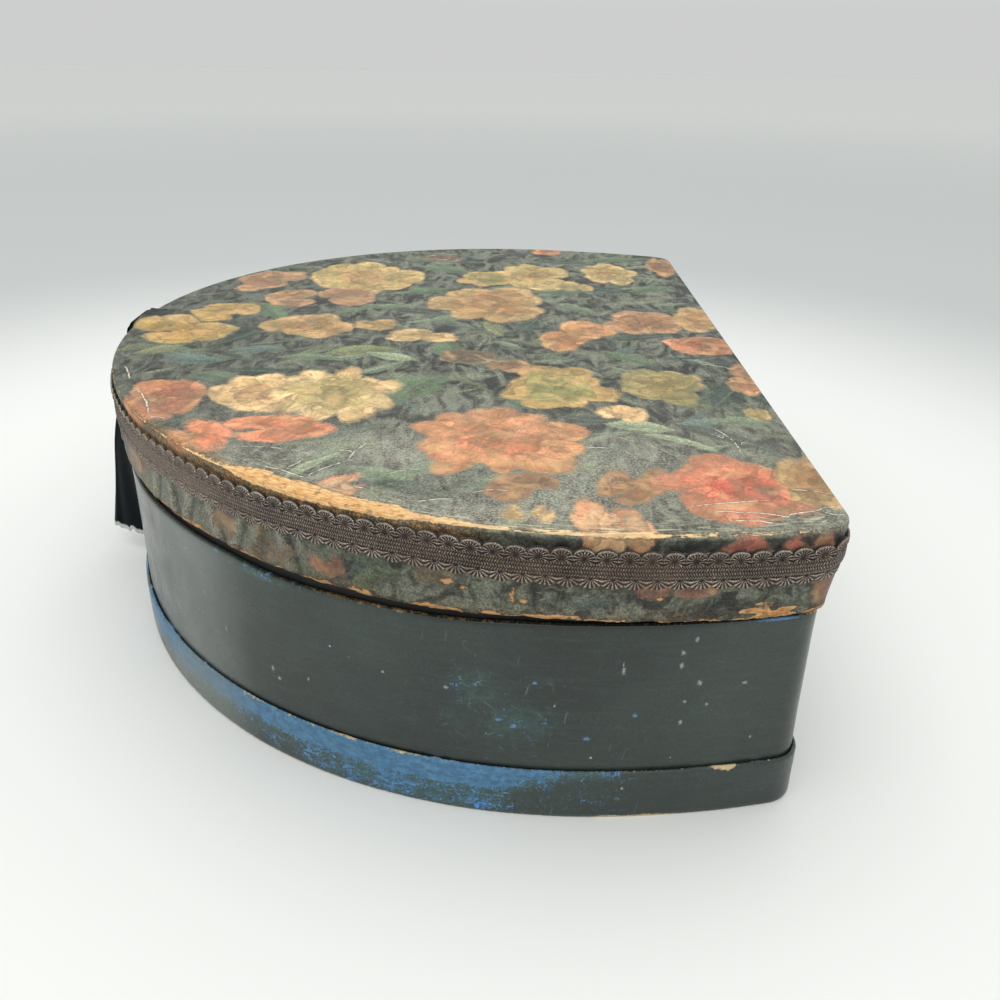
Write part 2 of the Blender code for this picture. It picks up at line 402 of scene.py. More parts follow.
class Print:
    """A floral print in layers, sampled at points given in millimetres on the unrolled paper."""

    def __init__(self, x, y):
        self.x, self.y = x, y
        count = len(x)
        self.leaf = np.full(count, -FAR)
        self.leaf_colour = np.tile(linear(70, 95, 80), (count, 1))
        self.flower = np.full(count, -FAR)
        self.flower_colour = np.tile(linear(200, 150, 110), (count, 1))
        self.crease = np.full(count, FAR)
        self.stroke = np.column_stack([x, y, np.zeros(count)]) / 1000
        self.mark, self.marked = np.full(count, 2.0), np.zeros(count)

    def local(self, x, y, across, along, turn):
        c, s = math.cos(math.radians(turn)), math.sin(math.radians(turn))
        dx, dy = self.x - x, self.y - y
        u, v = (dx * c + dy * s) / (across / 2), (dy * c - dx * s) / (along / 2)
        near = np.flatnonzero(np.hypot(u, v) < 1.5)
        return near, u[near], v[near]

    def bloom(self, x, y, across, along, turn, petals, colours, seed):
        """A painted flower of this size: rings of rounded petals, each drawn over the ones before it."""
        near, u, v = self.local(x, y, across, along, turn)
        px, py = self.x[near], self.y[near]
        size = min(across, along) / 2
        wander = max(5.0, 0.7 * size)
        u = u + 0.36 * (rough_noise(px / wander, py / wander, seed + 40) - 0.5)
        v = v + 0.36 * (rough_noise(px / wander, py / wander + 9, seed + 41) - 0.5)
        outer, middle, heart, shade = (linear(*c) for c in colours)
        patch = 0.6 * rough_noise(px / 8, py / 8, seed) + 0.4 * noise(px / 2.2, py / 2.2, seed + 2)
        patch = patch[:, None]
        faded = np.clip(2.4 * patch - 0.95, 0, 0.85)
        few = petals < 6
        core = ((0.34 if few else 0.62) - np.hypot(u, v)) * size
        self.paint(near, core, middle * np.ones((len(near), 1)) * (0.8 + 0.3 * patch), u * size, v * size, 0)
        reached = core
        for ring, reach in enumerate((1.07, 0.74, 0.44)[: 2 if few else 3]):
            count = max(3, petals - 2 * ring)
            for i in range(count):
                k = (i * 3) % count if count % 3 else i
                jog = 0.8 * (lattice(k, ring, seed + 5) - 0.5)
                angle = 2 * math.pi * (k + jog) / count + seed * 0.7 + ring * 0.5
                long = reach * (0.76 + 0.30 * lattice(k, ring + 3, seed))
                base = long * (0.38 + 0.10 * lattice(k, ring + 7, seed))
                wide = reach * math.sin(math.pi / max(count, 4))
                wide *= (0.68 if few else 0.82) + 0.26 * lattice(k, ring + 9, seed)
                c, s = math.cos(angle), math.sin(angle)
                a, b = u * c + v * s - (long - base), v * c - u * s
                inside = (1 - np.hypot(a / base, b / wide)) * min(base, wide) * size
                rise = np.clip((a / base + 1) / 2, 0, 1)[:, None]
                tone = 0.86 + 0.26 * lattice(k, ring + 11, seed)
                streak = noise(b * size / 1.1, a * size / 6, seed + k)[:, None]
                tint = (outer, middle, heart)[ring] * tone * (0.76 + 0.34 * rise) * (0.86 + 0.28 * streak)
                tint = tint + (shade - tint) * faded * (1 - 0.45 * rise)
                self.paint(near, inside, tint, b * size, a * size * 0.25, k + 10 * ring)
                if ring == 0:
                    reached = np.maximum(reached, inside)
        halo = (reached <= 0) & (reached > -2.5) & (reached > self.flower[near])
        self.flower_colour[near[halo]] = outer * 0.92
        self.flower[near] = np.maximum(self.flower[near], reached)

    def paint(self, near, inside, tint, stroke_x, stroke_y, layer):
        """Lays one petal over what is there."""
        on = inside > -0.3
        place = near[on]
        self.flower_colour[place] = tint[on]
        self.crease[place] = np.clip(inside[on], 0, FAR)
        where = np.column_stack([stroke_x, stroke_y, np.full(len(near), 37.0 * layer)]) / 1000
        self.stroke[place] = where[on]

    def blade(self, x, y, long, wide, turn, colour, seed, bend=0.0):
        """A pointed leaf with a pale midrib, or a brush stroke when it is narrow."""
        near, u, v = self.local(x, y, long, long, turn)
        v = v - bend * (1 - u * u)
        half = wide / 2 * np.clip(1 - np.abs(u) ** 1.8, 0, 1) * (0.8 + 0.4 * noise(u * 3, v * 3, seed))
        inside = np.minimum(half - np.abs(v) * long / 2, (1 - np.abs(u)) * 6)
        tint = linear(*colour) * (0.75 + 0.45 * noise(u * 5, v * 14, seed + 1))[:, None]
        outward = np.clip(np.abs(v) / (wide / long), 0, 1)
        tint = 1.12 * tint * np.where(v > 0, 1.0, 0.7)[:, None] * (0.8 + 0.35 * outward)[:, None]
        rib = np.clip(1 - np.abs(v) * long / 2 / 0.8, 0, 1)[:, None] * (wide > 6)
        tint = tint + (linear(150, 160, 130) - tint) * 0.35 * rib
        painted = (inside > 0) | ((inside > -2.5) & (inside > self.leaf[near]))
        self.leaf_colour[near[painted]] = tint[painted]
        self.leaf[near] = np.maximum(self.leaf[near], inside)

    def attributes(self):
        kept = ("leaf", "leaf_colour", "flower", "flower_colour", "crease", "stroke", "mark", "marked")
        return {name: getattr(self, name) for name in kept}


# Colours of a flower: outer petals, middle, heart, and the faded shade that mottles it.
OCHRE = ((214, 176, 104), (202, 160, 88), (222, 172, 84), (146, 132, 88))
CORAL = ((224, 146, 106), (208, 130, 92), (180, 108, 78), (150, 124, 92))
CORAL_BRIGHT = ((250, 152, 112), (242, 140, 100), (216, 120, 86), (200, 138, 100))
CREAM = ((250, 208, 150), (236, 196, 138), (230, 180, 128), (176, 158, 108))
CREAM_OLIVE = ((244, 208, 150), (216, 190, 128), (198, 176, 114), (164, 152, 100))
SALMON = ((196, 146, 108), (178, 128, 94), (160, 110, 80), (138, 122, 90))
YELLOW = ((218, 186, 122), (194, 170, 108), (202, 158, 104), (144, 142, 96))
PEACH = ((212, 172, 118), (196, 150, 100), (188, 134, 88), (140, 132, 86))
PEACH_ORANGE = ((226, 164, 110), (214, 142, 92), (188, 114, 76), (156, 132, 94))
ORANGE_BROWN = ((200, 146, 102), (178, 120, 82), (150, 100, 70), (128, 112, 82))
YELLOW_GREEN = ((212, 172, 106), (172, 162, 98), (156, 152, 92), (134, 138, 88))
OLIVE_YELLOW = ((158, 150, 98), (178, 160, 104), (166, 148, 92), (118, 122, 82))
GREAT_CORAL = ((220, 150, 106), (240, 164, 118), (238, 146, 104), (160, 132, 88))
PINK = ((255, 176, 134), (255, 206, 158), (248, 162, 120), (226, 168, 122))
RED_CORAL = ((208, 132, 100), (238, 134, 100), (214, 100, 76), (146, 114, 88))
ROSE = ((222, 122, 108), (206, 112, 98), (182, 96, 84), (140, 84, 76))
DUSKY = ((108, 94, 78), (100, 86, 72), (94, 80, 66), (72, 74, 66))
BROWN = ((164, 122, 88), (150, 108, 80), (128, 92, 68), (104, 94, 76))

# x, y, across, along, turn, petals, colours, seed: millimetres on the lid's plan.
BLOOMS = [
    (-222, 18, 32, 32, 20, 4, OCHRE, 2),
    (-229, -14, 46, 40, -12, 5, OCHRE, 3),
    (-213, -93, 30, 44, 8, 6, CORAL, 5),
    (-182, -85, 36, 46, -10, 8, CREAM, 9),
    (-155, -81, 46, 58, 12, 12, CREAM_OLIVE, 12),
    (-192, -126, 20, 27, 30, 4, CORAL_BRIGHT, 4),
    (-169, -117, 36, 23, 10, 4, CORAL_BRIGHT, 8),
    (-216, 80, 30, 46, -30, 5, SALMON, 14),
    (-170, 92, 58, 84, 10, 9, YELLOW, 17),
    (-197, 47, 27, 33, 0, 5, SALMON, 21),
    (-170, 53, 30, 38, 15, 5, SALMON, 24),
    (-180, 2, 40, 40, 0, 7, PEACH, 27),
    (-151, 7, 22, 18, 0, 5, PEACH, 29),
    (-131, -8, 30, 20, 5, 5, CREAM, 31),
    (-101, 52, 60, 68, 0, 11, PEACH, 33),
    (-79, 112, 40, 58, 0, 8, YELLOW, 36),
    (-38, 122, 34, 52, 0, 9, YELLOW, 38),
    (-58, 90, 18, 22, 0, 5, YELLOW, 40),
    (-70, 176, 18, 22, 0, 5, CORAL, 41),
    (-5, 146, 18, 48, 0, 6, ORANGE_BROWN, 43),
    (-70, -6, 22, 34, -14, 5, PEACH_ORANGE, 45),
    (-58, 12, 24, 28, 20, 4, PEACH_ORANGE, 46),
    (-31, 26, 42, 46, -24, 7, SALMON, 48),
    (-3, 34, 26, 46, -12, 6, PEACH, 50),
    (-9, -6, 32, 26, 0, 6, CORAL, 52),
    (1, -48, 18, 38, -12, 5, ORANGE_BROWN, 54),
    (-5, -88, 9, 13, 0, 4, YELLOW, 55),
    (-75, -66, 44, 50, 10, 9, YELLOW_GREEN, 57),
    (-35, -60, 36, 44, 0, 10, OLIVE_YELLOW, 60),
    (-53, -92, 17, 17, 30, 4, CREAM, 62),
    (-98, -120, 62, 58, 4, 13, GREAT_CORAL, 64),
    (-88, -154, 26, 20, 20, 3, BROWN, 66),
    (-92, -172, 7, 10, 10, 4, CREAM, 67),
    (-84, -172, 7, 10, -10, 4, CREAM, 68),
    (-57, -151, 20, 34, -24, 3, ORANGE_BROWN, 70),
    (-65, -177, 23, 34, 10, 5, PINK, 71),
    (-26, -149, 46, 46, -30, 8, RED_CORAL, 74),
    (0, -142, 24, 46, -20, 6, PEACH, 76),
    (-142, -160, 14, 22, -30, 3, PINK, 78),
    (-28, -186, 16, 12, 0, 4, ROSE, 82),
    (-8, -183, 20, 15, 0, 4, ROSE, 85),
    (-130, 148, 22, 18, 0, 5, DUSKY, 80),
    (-104, 104, 34, 36, 0, 7, YELLOW_GREEN, 82),
    (-108, -34, 26, 20, 0, 5, DUSKY, 84),
    (-92, -44, 18, 16, 0, 5, BROWN, 86),
]

GREEN, DEEP, BLUE, SAGE = (96, 122, 86), (44, 66, 56), (96, 120, 112), (116, 136, 104)
OLIVE, PALE = (136, 142, 94), (168, 182, 144)
# x, y, long, wide, turn, colour, bend: millimetres on the lid's plan.
BLADES = [
    (-153, -33, 32, 13, 20, OLIVE, 0.1),
    (-140, -38, 24, 9, -20, PALE, 0.0),
    (-125, -74, 36, 20, 65, GREEN, 0.2),
    (-119, -26, 30, 14, 100, GREEN, -0.1),
    (-49, -105, 25, 10, -8, PALE, 0.1),
    (-152, -146, 30, 4, 58, PALE, 0.1),
    (-146, -134, 24, 3, 50, SAGE, 0.1),
    (-112, -146, 40, 10, 20, SAGE, 0.2),
    (-130, -152, 30, 9, -30, SAGE, 0.1),
    (-194, -36, 24, 9, 14, BLUE, 0.1),
    (-172, -44, 27, 9, 4, SAGE, 0.1),
    (-28, -100, 14, 9, 10, BLUE, 0.0),
    (-12, -96, 22, 10, 0, SAGE, 0.0),
    (-60, 44, 24, 9, -40, SAGE, 0.1),
    (-120, 20, 24, 9, 30, SAGE, 0.1),
    (-150, 38, 28, 8, 10, SAGE, 0.0),
    (-90, 82, 30, 9, 10, SAGE, 0.1),
    (-216, -49, 28, 13, -15, BLUE, -0.1),
    (-232, -40, 22, 9, 40, OLIVE, 0.0),
    (-22, -112, 40, 9, -35, DEEP, 0.1),
    (-38, -118, 30, 5, -30, PALE, 0.2),
    (-12, -70, 30, 12, 60, DEEP, 0.0),
    (-135, 70, 30, 12, 30, GREEN, 0.0),
    (-128, 118, 34, 14, -20, GREEN, 0.1),
    (-70, 78, 36, 10, 10, GREEN, 0.0),
    (-40, 86, 34, 10, -12, DEEP, 0.0),
    (-18, 92, 30, 12, 30, GREEN, 0.0),
    (-62, 148, 30, 10, 0, DEEP, 0.0),
    (-30, 162, 34, 10, 12, GREEN, 0.0),
    (-136, 30, 34, 9, -10, DEEP, 0.1),
    (-150, -120, 40, 9, 28, DEEP, 0.0),
    (-120, -160, 30, 8, -20, DEEP, 0.1),
    (-36, 2, 34, 8, 20, DEEP, 0.0),
    (-45, -28, 28, 9, -40, GREEN, 0.0),
    (-85, 12, 30, 9, 70, DEEP, 0.0),
    (-100, 8, 26, 9, 110, OLIVE, 0.0),
    (-96, -150, 34, 6, 30, GREEN, 0.0),
    (-200, 20, 34, 10, -60, GREEN, 0.0),
    (-205, -20, 24, 9, 60, DEEP, 0.0),
    (-188, -62, 26, 8, 0, DEEP, 0.0),
    (-60, -128, 26, 6, 60, DEEP, 0.0),
]


def toward(colour, other, share):
    return tuple((1 - share) * c + share * g for c, g in zip(colour, other))


def floral(x, y):
    """The lid's print at these points, in millimetres."""
    paper = Print(x, y)
    scatter = np.random.default_rng(11)
    for k in range(TOP_STROKES):
        place = scatter.uniform((-256, -186), (6, 186))
        colour = (DEEP, GREEN, SAGE, BLUE, OLIVE, PALE)[scatter.integers(6)]
        faded = toward(colour, (56, 70, 66), 0.28)
        long = scatter.uniform(10, 30)
        wide = long * scatter.uniform(0.12, 0.3)
        paper.blade(*place, long, wide, scatter.uniform(-60, 70), faded, k, scatter.uniform(-0.35, 0.35))
    for k, (*size, colour, bend) in enumerate(BLADES):
        paper.blade(*size, colour, 200 + k, bend)
    for bloom in BLOOMS:
        paper.bloom(*bloom)
    paper.mark, paper.marked = marks(x, y)
    return paper


# x, y to x, y, bow and strength: pale creases and scratches on the lid's plan, in millimetres.
MARKS = [
    (-178, -133, -153, -137, 1.5, 0.7), (-162, -152, -154, -136, -1.0, 0.8),
    (-153, -154, -142, -141, 1.0, 0.8), (-142, -141, -138, -127, 1.0, 0.7),
    (-168, -146, -151, -155, 0.5, 1.0), (-119, -167, -109, -164, 0.5, 1.0),
    (-69, -124, -62, -124, 0.3, 1.0), (-61, -113, -39, -130, 2.0, 0.5),
    (-24, -103, -19, -124, 2.0, 0.9), (-26, -108, -14, -116, -1.0, 0.8), (-17, -32, 2, -42, 1.5, 0.8),
    (-37, -166, -10, -170, 1.0, 1.0), (-27, -170, 2, -159, -1.5, 1.0), (-42, -164, -17, -158, 0.6, 1.0),
    (-226, -85, -213, -110, 1.5, 1.0), (-213, -111, -205, -113, 0.3, 1.0),
    (-238, -62, -231, -76, 0.5, 0.9), (-40, -162, -22, -161, 0.8, 0.8),
    (-148, -133, -141, -134, 0.2, 1.0), (-139, -158, -134, -160, 0.3, 0.9),
    (-172, -136, -158, -134, 1.0, 0.6), (-104, -160, -92, -158, 1.5, 0.6),
    (-130, -150, -108, -146, 3.0, 0.5), (-20, 100, -12, 118, 1.0, 0.5), (-60, 30, -44, 44, -1.5, 0.4),
    (-150, 120, -132, 128, 1.0, 0.4), (-10, -150, 1, -152, 0.5, 1.0), (-12, -165, 2, -166, 0.6, 1.0),
    (-33, -171, -18, -173, 0.5, 1.0), (-92, -120, -80, -96, 2.0, 0.3),
]


def marks(x, y):
    """Signed distance from the nearest mark, and its strength, which is 0 away from all of them."""
    signed, strength = np.full(len(x), 2.0), np.zeros(len(x))
    for x0, y0, x1, y1, bow, force in MARKS:
        long = math.hypot(x1 - x0, y1 - y0)
        ux, uy = (x1 - x0) / long, (y1 - y0) / long
        t = ((x - x0) * ux + (y - y0) * uy) / long
        off = (y - y0) * ux - (x - x0) * uy - 4 * bow * t * (1 - t)
        here = force * smooth(-0.05, 0.2, t) * smooth(1.05, 0.8, t) * smooth(2.6, 1.6, np.abs(off))
        signed = np.where(here > strength, off, signed)
        strength = np.maximum(strength, here)
    return np.clip(signed, -3, 3), strength


def table_of(pairs, s):
    """Looks a value up by place along the outline, in millimetres: pairs is [(s, value), ...] in order."""
    where, value = zip(*pairs)
    return np.interp(np.asarray(s) * 1000, where, value)


# Width of bare board along the lid's upper edge, by place along the outline, in millimetres.
BARE_EDGE = [
    (0, 0.4), (200, 0.6), (420, 0.4), (505, 0.6), (528, 1.2), (536, 4.0), (546, 6.6), (560, 6.6),
    (580, 5.2), (597, 3.2), (612, 1.5), (630, 1.3), (640, 2.0), (658, 2.2), (668, 1.3), (682, 0.5),
    (704, 0.1), (760, 0.3), (1046, 0.4),
]


def paper_finish(name, worn, painted_shade, dark_tan, pale_tan):
    """Printed paper: painted layers, mottling, dust with painted sheen, scratches, board where it has worn
    through, and painted shade.
    """
    f = Finish(name)
    here = f.where()
    fine = f.noise(here, 1500, 3)
    mottle = f.noise(here, 420, 4, 0.65)
    broad = f.noise(here, 60, 3)

    # The ground: dark and pale brush strokes, darker round the flowers, and painted shade toward the rounded
    # end.
    strokes = f.noise(f.where(scale=(1.0, 0.45, 1.0)), 150, 4, 0.6, 1.2)
    ground = f.mix(f.step(strokes, 0.37, 0.66), rgba(19, 24, 22), rgba(115, 119, 103))
    sweeps = f.noise(f.streaks(None, 0.5, 3.0), 95, 4, 0.65, 0.9)
    ground = f.over(ground, f.step(sweeps, 0.50, 0.74, (0.0, 0.8)), 138, 145, 118)
    # Painted shade: the ground darkens toward the rounded end.
    frame_x, _, _ = f.split(here)
    ground = f.shaded(ground, f.step(frame_x, -0.09, 0.0, (0.76, 1.06)))
    edge = (mottle - 0.5) * 1.9
    from_flower = f.attribute("flower")
    ground = f.over(ground, f.step(from_flower, -3.0, 0.0, (0.0, 0.35)), 28, 34, 34)

    # Leaves, and how much of each flower is left.
    leaf = f.step(f.attribute("leaf") + edge * 1.4, -0.6, 0.8)
    leaf = leaf * f.step(mottle, 0.3, 0.62, (1.0, 0.68))
    colour = f.mix(leaf, ground, f.attribute("leaf_colour", "Color"))
    flower = f.step(from_flower + edge * 1.6, -1.0, 0.9)
    flower = flower * f.step(f.noise(here, 48, 3, 0.5, 0.4), 0.32, 0.5, (0.74, 1.0))

    # The petals: drawn folds, an outline, ribs, dark creases, and faded and lighter patches.
    petals = f.attribute("flower_colour", "Color")
    folds = f.noise(f.where(scale=(1.0, 0.75, 1.0)), 50, 1.5, 0.5, 0.6)
    folds = folds * 4.4 + from_flower * 0.085
    folds = f.math("FRACT", folds)
    petals = f.shaded(petals, f.step(folds, 0.0, 1.0, (0.80, 1.16)))
    petals = f.over(petals, f.step(folds, 0.0, 0.10, (0.22, 0.0)), 110, 84, 56)
    petals = f.over(petals, f.step(from_flower, 0.1, 1.6, (0.10, 0.0)), 250, 226, 180)
    spokes = f.noise(f.where("stroke"), 1100, 4, 0.7)
    petals = f.shaded(petals, f.step(spokes, 0.32, 0.68, (0.78, 1.14)))
    dark = f.step(f.attribute("crease") + edge * 0.8, 0.0, 1.1, (0.34, 0.0))
    petals = f.over(petals, dark, 96, 72, 52)
    petals = f.over(petals, f.step(mottle, 0.52, 0.70, (0.0, 0.38)), 112, 98, 66)
    petals = f.over(petals, f.step(f.noise(here, 170, 4, 0.6), 0.50, 0.72, (0.0, 0.42)), 132, 122, 80)
    petals = f.over(petals, f.step(f.noise(here, 90, 3, 0.6, 0.5), 0.50, 0.68, (0.0, 0.42)), 252, 200, 140)
    petals = f.over(petals, f.step(fine, 0.52, 0.8, (0.0, 0.22)), 250, 216, 160)
    stipple = f.step(fine, 0.46, 0.6) * f.step(f.noise(here, 58, 3, 0.6, 0.3), 0.42, 0.62, (0.0, 0.5))
    petals = f.over(petals, stipple, 112, 94, 62)
    colour = f.mix(flower, colour, petals)
    grained = f.mix(flower, f.step(fine, 0.36, 0.64, (0.58, 1.42)), f.step(fine, 0.30, 0.70, (0.86, 1.14)))
    colour = f.shaded(colour, grained)

    # Dust with painted sheen, rubbed streaks along the edge, and scratches with a painted shadow beside them.
    speck = f.step(f.noise(here, 1400, 3, 0.7), 0.41, 0.64)
    dust_and_sheen = f.attribute("dust_and_sheen") * (speck * 0.85 + 0.22)
    dust_and_sheen = dust_and_sheen * f.step(flower, 0.0, 1.0, (1.0, 0.12))
    colour = f.over(colour, dust_and_sheen, 202, 198, 178)
    long_way = f.noise(f.where("along", (1.0, 9.0, 1.0)), 110, 4, 0.6, 0.5)
    scuffed = f.attribute("scuff") * f.step(long_way, 0.54, 0.62)
    colour = f.over(colour, scuffed, 228, 214, 176)
    sunk = f.attribute("scuff") * f.step(long_way, 0.34, 0.44, (0.8, 0.0))
    colour = f.over(colour, sunk, 26, 28, 26)
    wander = (f.noise(here, 260, 3) - 0.5) * 1.6
    thin = f.math("ABSOLUTE", f.attribute("mark") + wander)
    marked = f.attribute("marked") * f.step(f.noise(here, 520, 3), 0.34, 0.56)
    scratched = f.step(thin, 0.08, 0.42, (1.0, 0.0)) * marked
    shadow = f.step(thin, 0.3, 1.1, (0.35, 0.0)) * f.attribute("marked")
    colour = f.over(colour, shadow, 30, 34, 32)
    colour = f.over(colour, scratched, 236, 232, 210)
    loose = f.noise(f.streaks(None, 0.25, 14.0), 700, 2)
    loose = f.step(loose, 0.7, 0.76) * f.step(broad, 0.45, 0.65, (0.0, 0.6))
    colour = f.over(colour, loose, 214, 214, 196)
    stain = f.attribute("stain") * f.step(mottle, 0.32, 0.56)
    foxing = f.mix(f.step(fine, 0.4, 0.65), rgba(92, 68, 42), rgba(176, 136, 86))
    colour = f.mix(stain, colour, foxing)

    # Bare board where the paper is torn, bleached toward the right, with a dark lip of paper round it.
    torn = f.attribute("bare") + (f.noise(here, 520, 5, 0.7) - 0.5) * worn
    streaky = (f.noise(f.where("along", (1.0, 7.0, 1.0)), 150, 4, 0.65) - 0.5) * 12.0
    torn = torn + f.attribute("scuff") * streaky
    bare = f.step(torn, 0.0, 0.5)
    grain = f.noise(f.where("along", (1.0, 5.0, 1.0)), 300, 4, 0.6)
    board = f.mix(f.step(grain, 0.35, 0.65), rgba(*dark_tan), rgba(*pale_tan))
    board = f.over(board, f.step(mottle, 0.54, 0.66, (0.0, 0.75)), 120, 84, 48)
    board = f.over(board, f.step(torn, 0.2, 3.0, (0.22, 0.0)), 250, 232, 196)
    along, _, _ = f.split(f.where("along"))
    bleached = f.step(along, 0.575, 0.625, (0.15, 0.8)) * f.attribute("scuff")
    board = f.over(board, bleached, 238, 218, 176)
    colour = f.mix(bare, colour, board)
    lip = f.step(f.math("ABSOLUTE", torn - 0.1), 0.0, 0.5, (0.45, 0.0))
    colour = f.over(colour, lip, 60, 44, 28)
    # Painted shade: the whole colour darkened by a factor, lower for the lid's side than for the top.
    colour = f.shaded(colour, (painted_shade, painted_shade, painted_shade, 1.0))

    # Painted shade in the folds, gloss and relief.
    fold = f.attribute("fold") * f.step(mottle, 0.25, 0.5, (0.8, 1.0))
    fold = fold * f.step(flower, 0.0, 1.0, (1.0, 0.35))
    colour = f.over(colour, fold, 20, 24, 25)
    rough = f.step(broad, 0.3, 0.7, (0.44, 0.58))
    rough = rough + bare * 0.25
    grain = f.bump(fine, 0.00007, 0.6)
    relief = bare * -1.0 + mottle * 0.5
    relief = relief + (scratched + scuffed - (shadow + sunk)) * 0.8
    return f.done(colour, rough, f.bump(relief, 0.00024, 0.8, grain), IOR=1.40)


def rim_loop(faces):
    """The points round the edge of a sheet of faces, in order."""
    ends = np.concatenate([faces[:, [k, (k + 1) % 4]] for k in range(4)])
    _, first, count = np.unique(np.sort(ends, axis=1), axis=0, return_index=True, return_counts=True)
    follow = dict(ends[first[count == 1]].tolist())
    loop = [next(iter(follow))]
    while follow[loop[-1]] != loop[0]:
        loop.append(follow[loop[-1]])
    return loop


def flat_grid(inner):
    """A grid that fills the plan at this offset, with its rim points moved onto the outline."""
    plan = closed_plan(inner)
    step_x, step_y, half_count = 0.00094, 0.00102, 180
    xs = np.arange(-0.2545, 0.0035, step_x)
    ys = np.arange(-half_count, half_count + 1) * step_y
    half = plan[: len(plan) // 2]
    half = half[(half[:, 1] >= 0) & (half[:, 0] < inner)][::-1]
    reach = np.interp((xs[:-1] + xs[1:]) / 2, half[:, 0], half[:, 1], left=-1, right=-1)
    i, j = np.nonzero(np.abs((ys[:-1] + ys[1:]) / 2)[None, :] < reach[:, None])
    index = np.arange(len(xs) * len(ys)).reshape(len(xs), len(ys))
    faces = np.stack([index[i, j], index[i + 1, j], index[i + 1, j + 1], index[i, j + 1]], 1)
    used, faces = np.unique(faces, return_inverse=True)
    faces = faces.reshape(-1, 4)
    gx, gy = np.meshgrid(xs, ys, indexing="ij")
    x, y = gx.ravel()[used], gy.ravel()[used]
    loop = rim_loop(faces)
    dense = np.linspace(0, PERIMETER, 8001)[:-1]
    ring = on_plan(dense, inner)
    near = [int(np.argmin((ring[:, 0] - x[k]) ** 2 + (ring[:, 1] - y[k]) ** 2)) for k in loop]
    x[loop], y[loop] = ring[near].T
    return x, y, faces, loop, dense[near]


def nearest_edge(x, y):
    """Distance from each point to the lid's edge, and the nearest place along the outline."""
    sparse = np.linspace(0, PERIMETER, 1401)[:-1]
    rim = on_plan(sparse, PANEL_EDGE)
    distance, nearest = np.empty(len(x)), np.empty(len(x))
    at_once = 6000
    for first in range(0, len(x), at_once):
        part = slice(first, first + at_once)
        apart = (x[part, None] - rim[:, 0]) ** 2 + (y[part, None] - rim[:, 1]) ** 2
        k = apart.argmin(1)
        distance[part] = np.sqrt(apart[np.arange(len(k)), k])
        nearest[part] = sparse[k]
    return distance, nearest


def turned_rows():
    """Offset and height of the rows from the flat part over the edge and down to the braid."""
    rounding = 0.0011
    rows = [(PANEL_EDGE - d, LID_HEIGHT) for d in (0.0024, 0.0018)]
    for k in range(5):
        t = math.pi / 2 * k / 4
        out = PANEL_EDGE - rounding + rounding * math.sin(t)
        rows.append((out, LID_HEIGHT - rounding * (1 - math.cos(t))))
    rows += [(PANEL_EDGE, 0.0254), (PANEL_EDGE - 0.0001, 0.0247), (RIM_OUTER + 0.0002, 0.0240)]
    return rows + [(RIM_OUTER, z) for z in (0.0232, 0.0224, 0.0215)]


def ribbon_swell(mm_x, mm_y):
    """Where the paper lies over the ribbon, and where it is crumpled over the ribbon's bend."""
    from_middle = mm_y - RIBBON_SIDESTEP * 1000
    over = smooth(13.5, 10.5, np.abs(from_middle - 0.4 * np.sin(mm_x / 3))) * smooth(-228, -234, mm_x)
    fold = 0.9 * smooth(-239, -244, mm_x + 4 * noise(mm_y / 3, 0, 5))
    return over, fold * smooth(-2, 2, mm_y + 2 * noise(mm_x / 3, 0, 7))


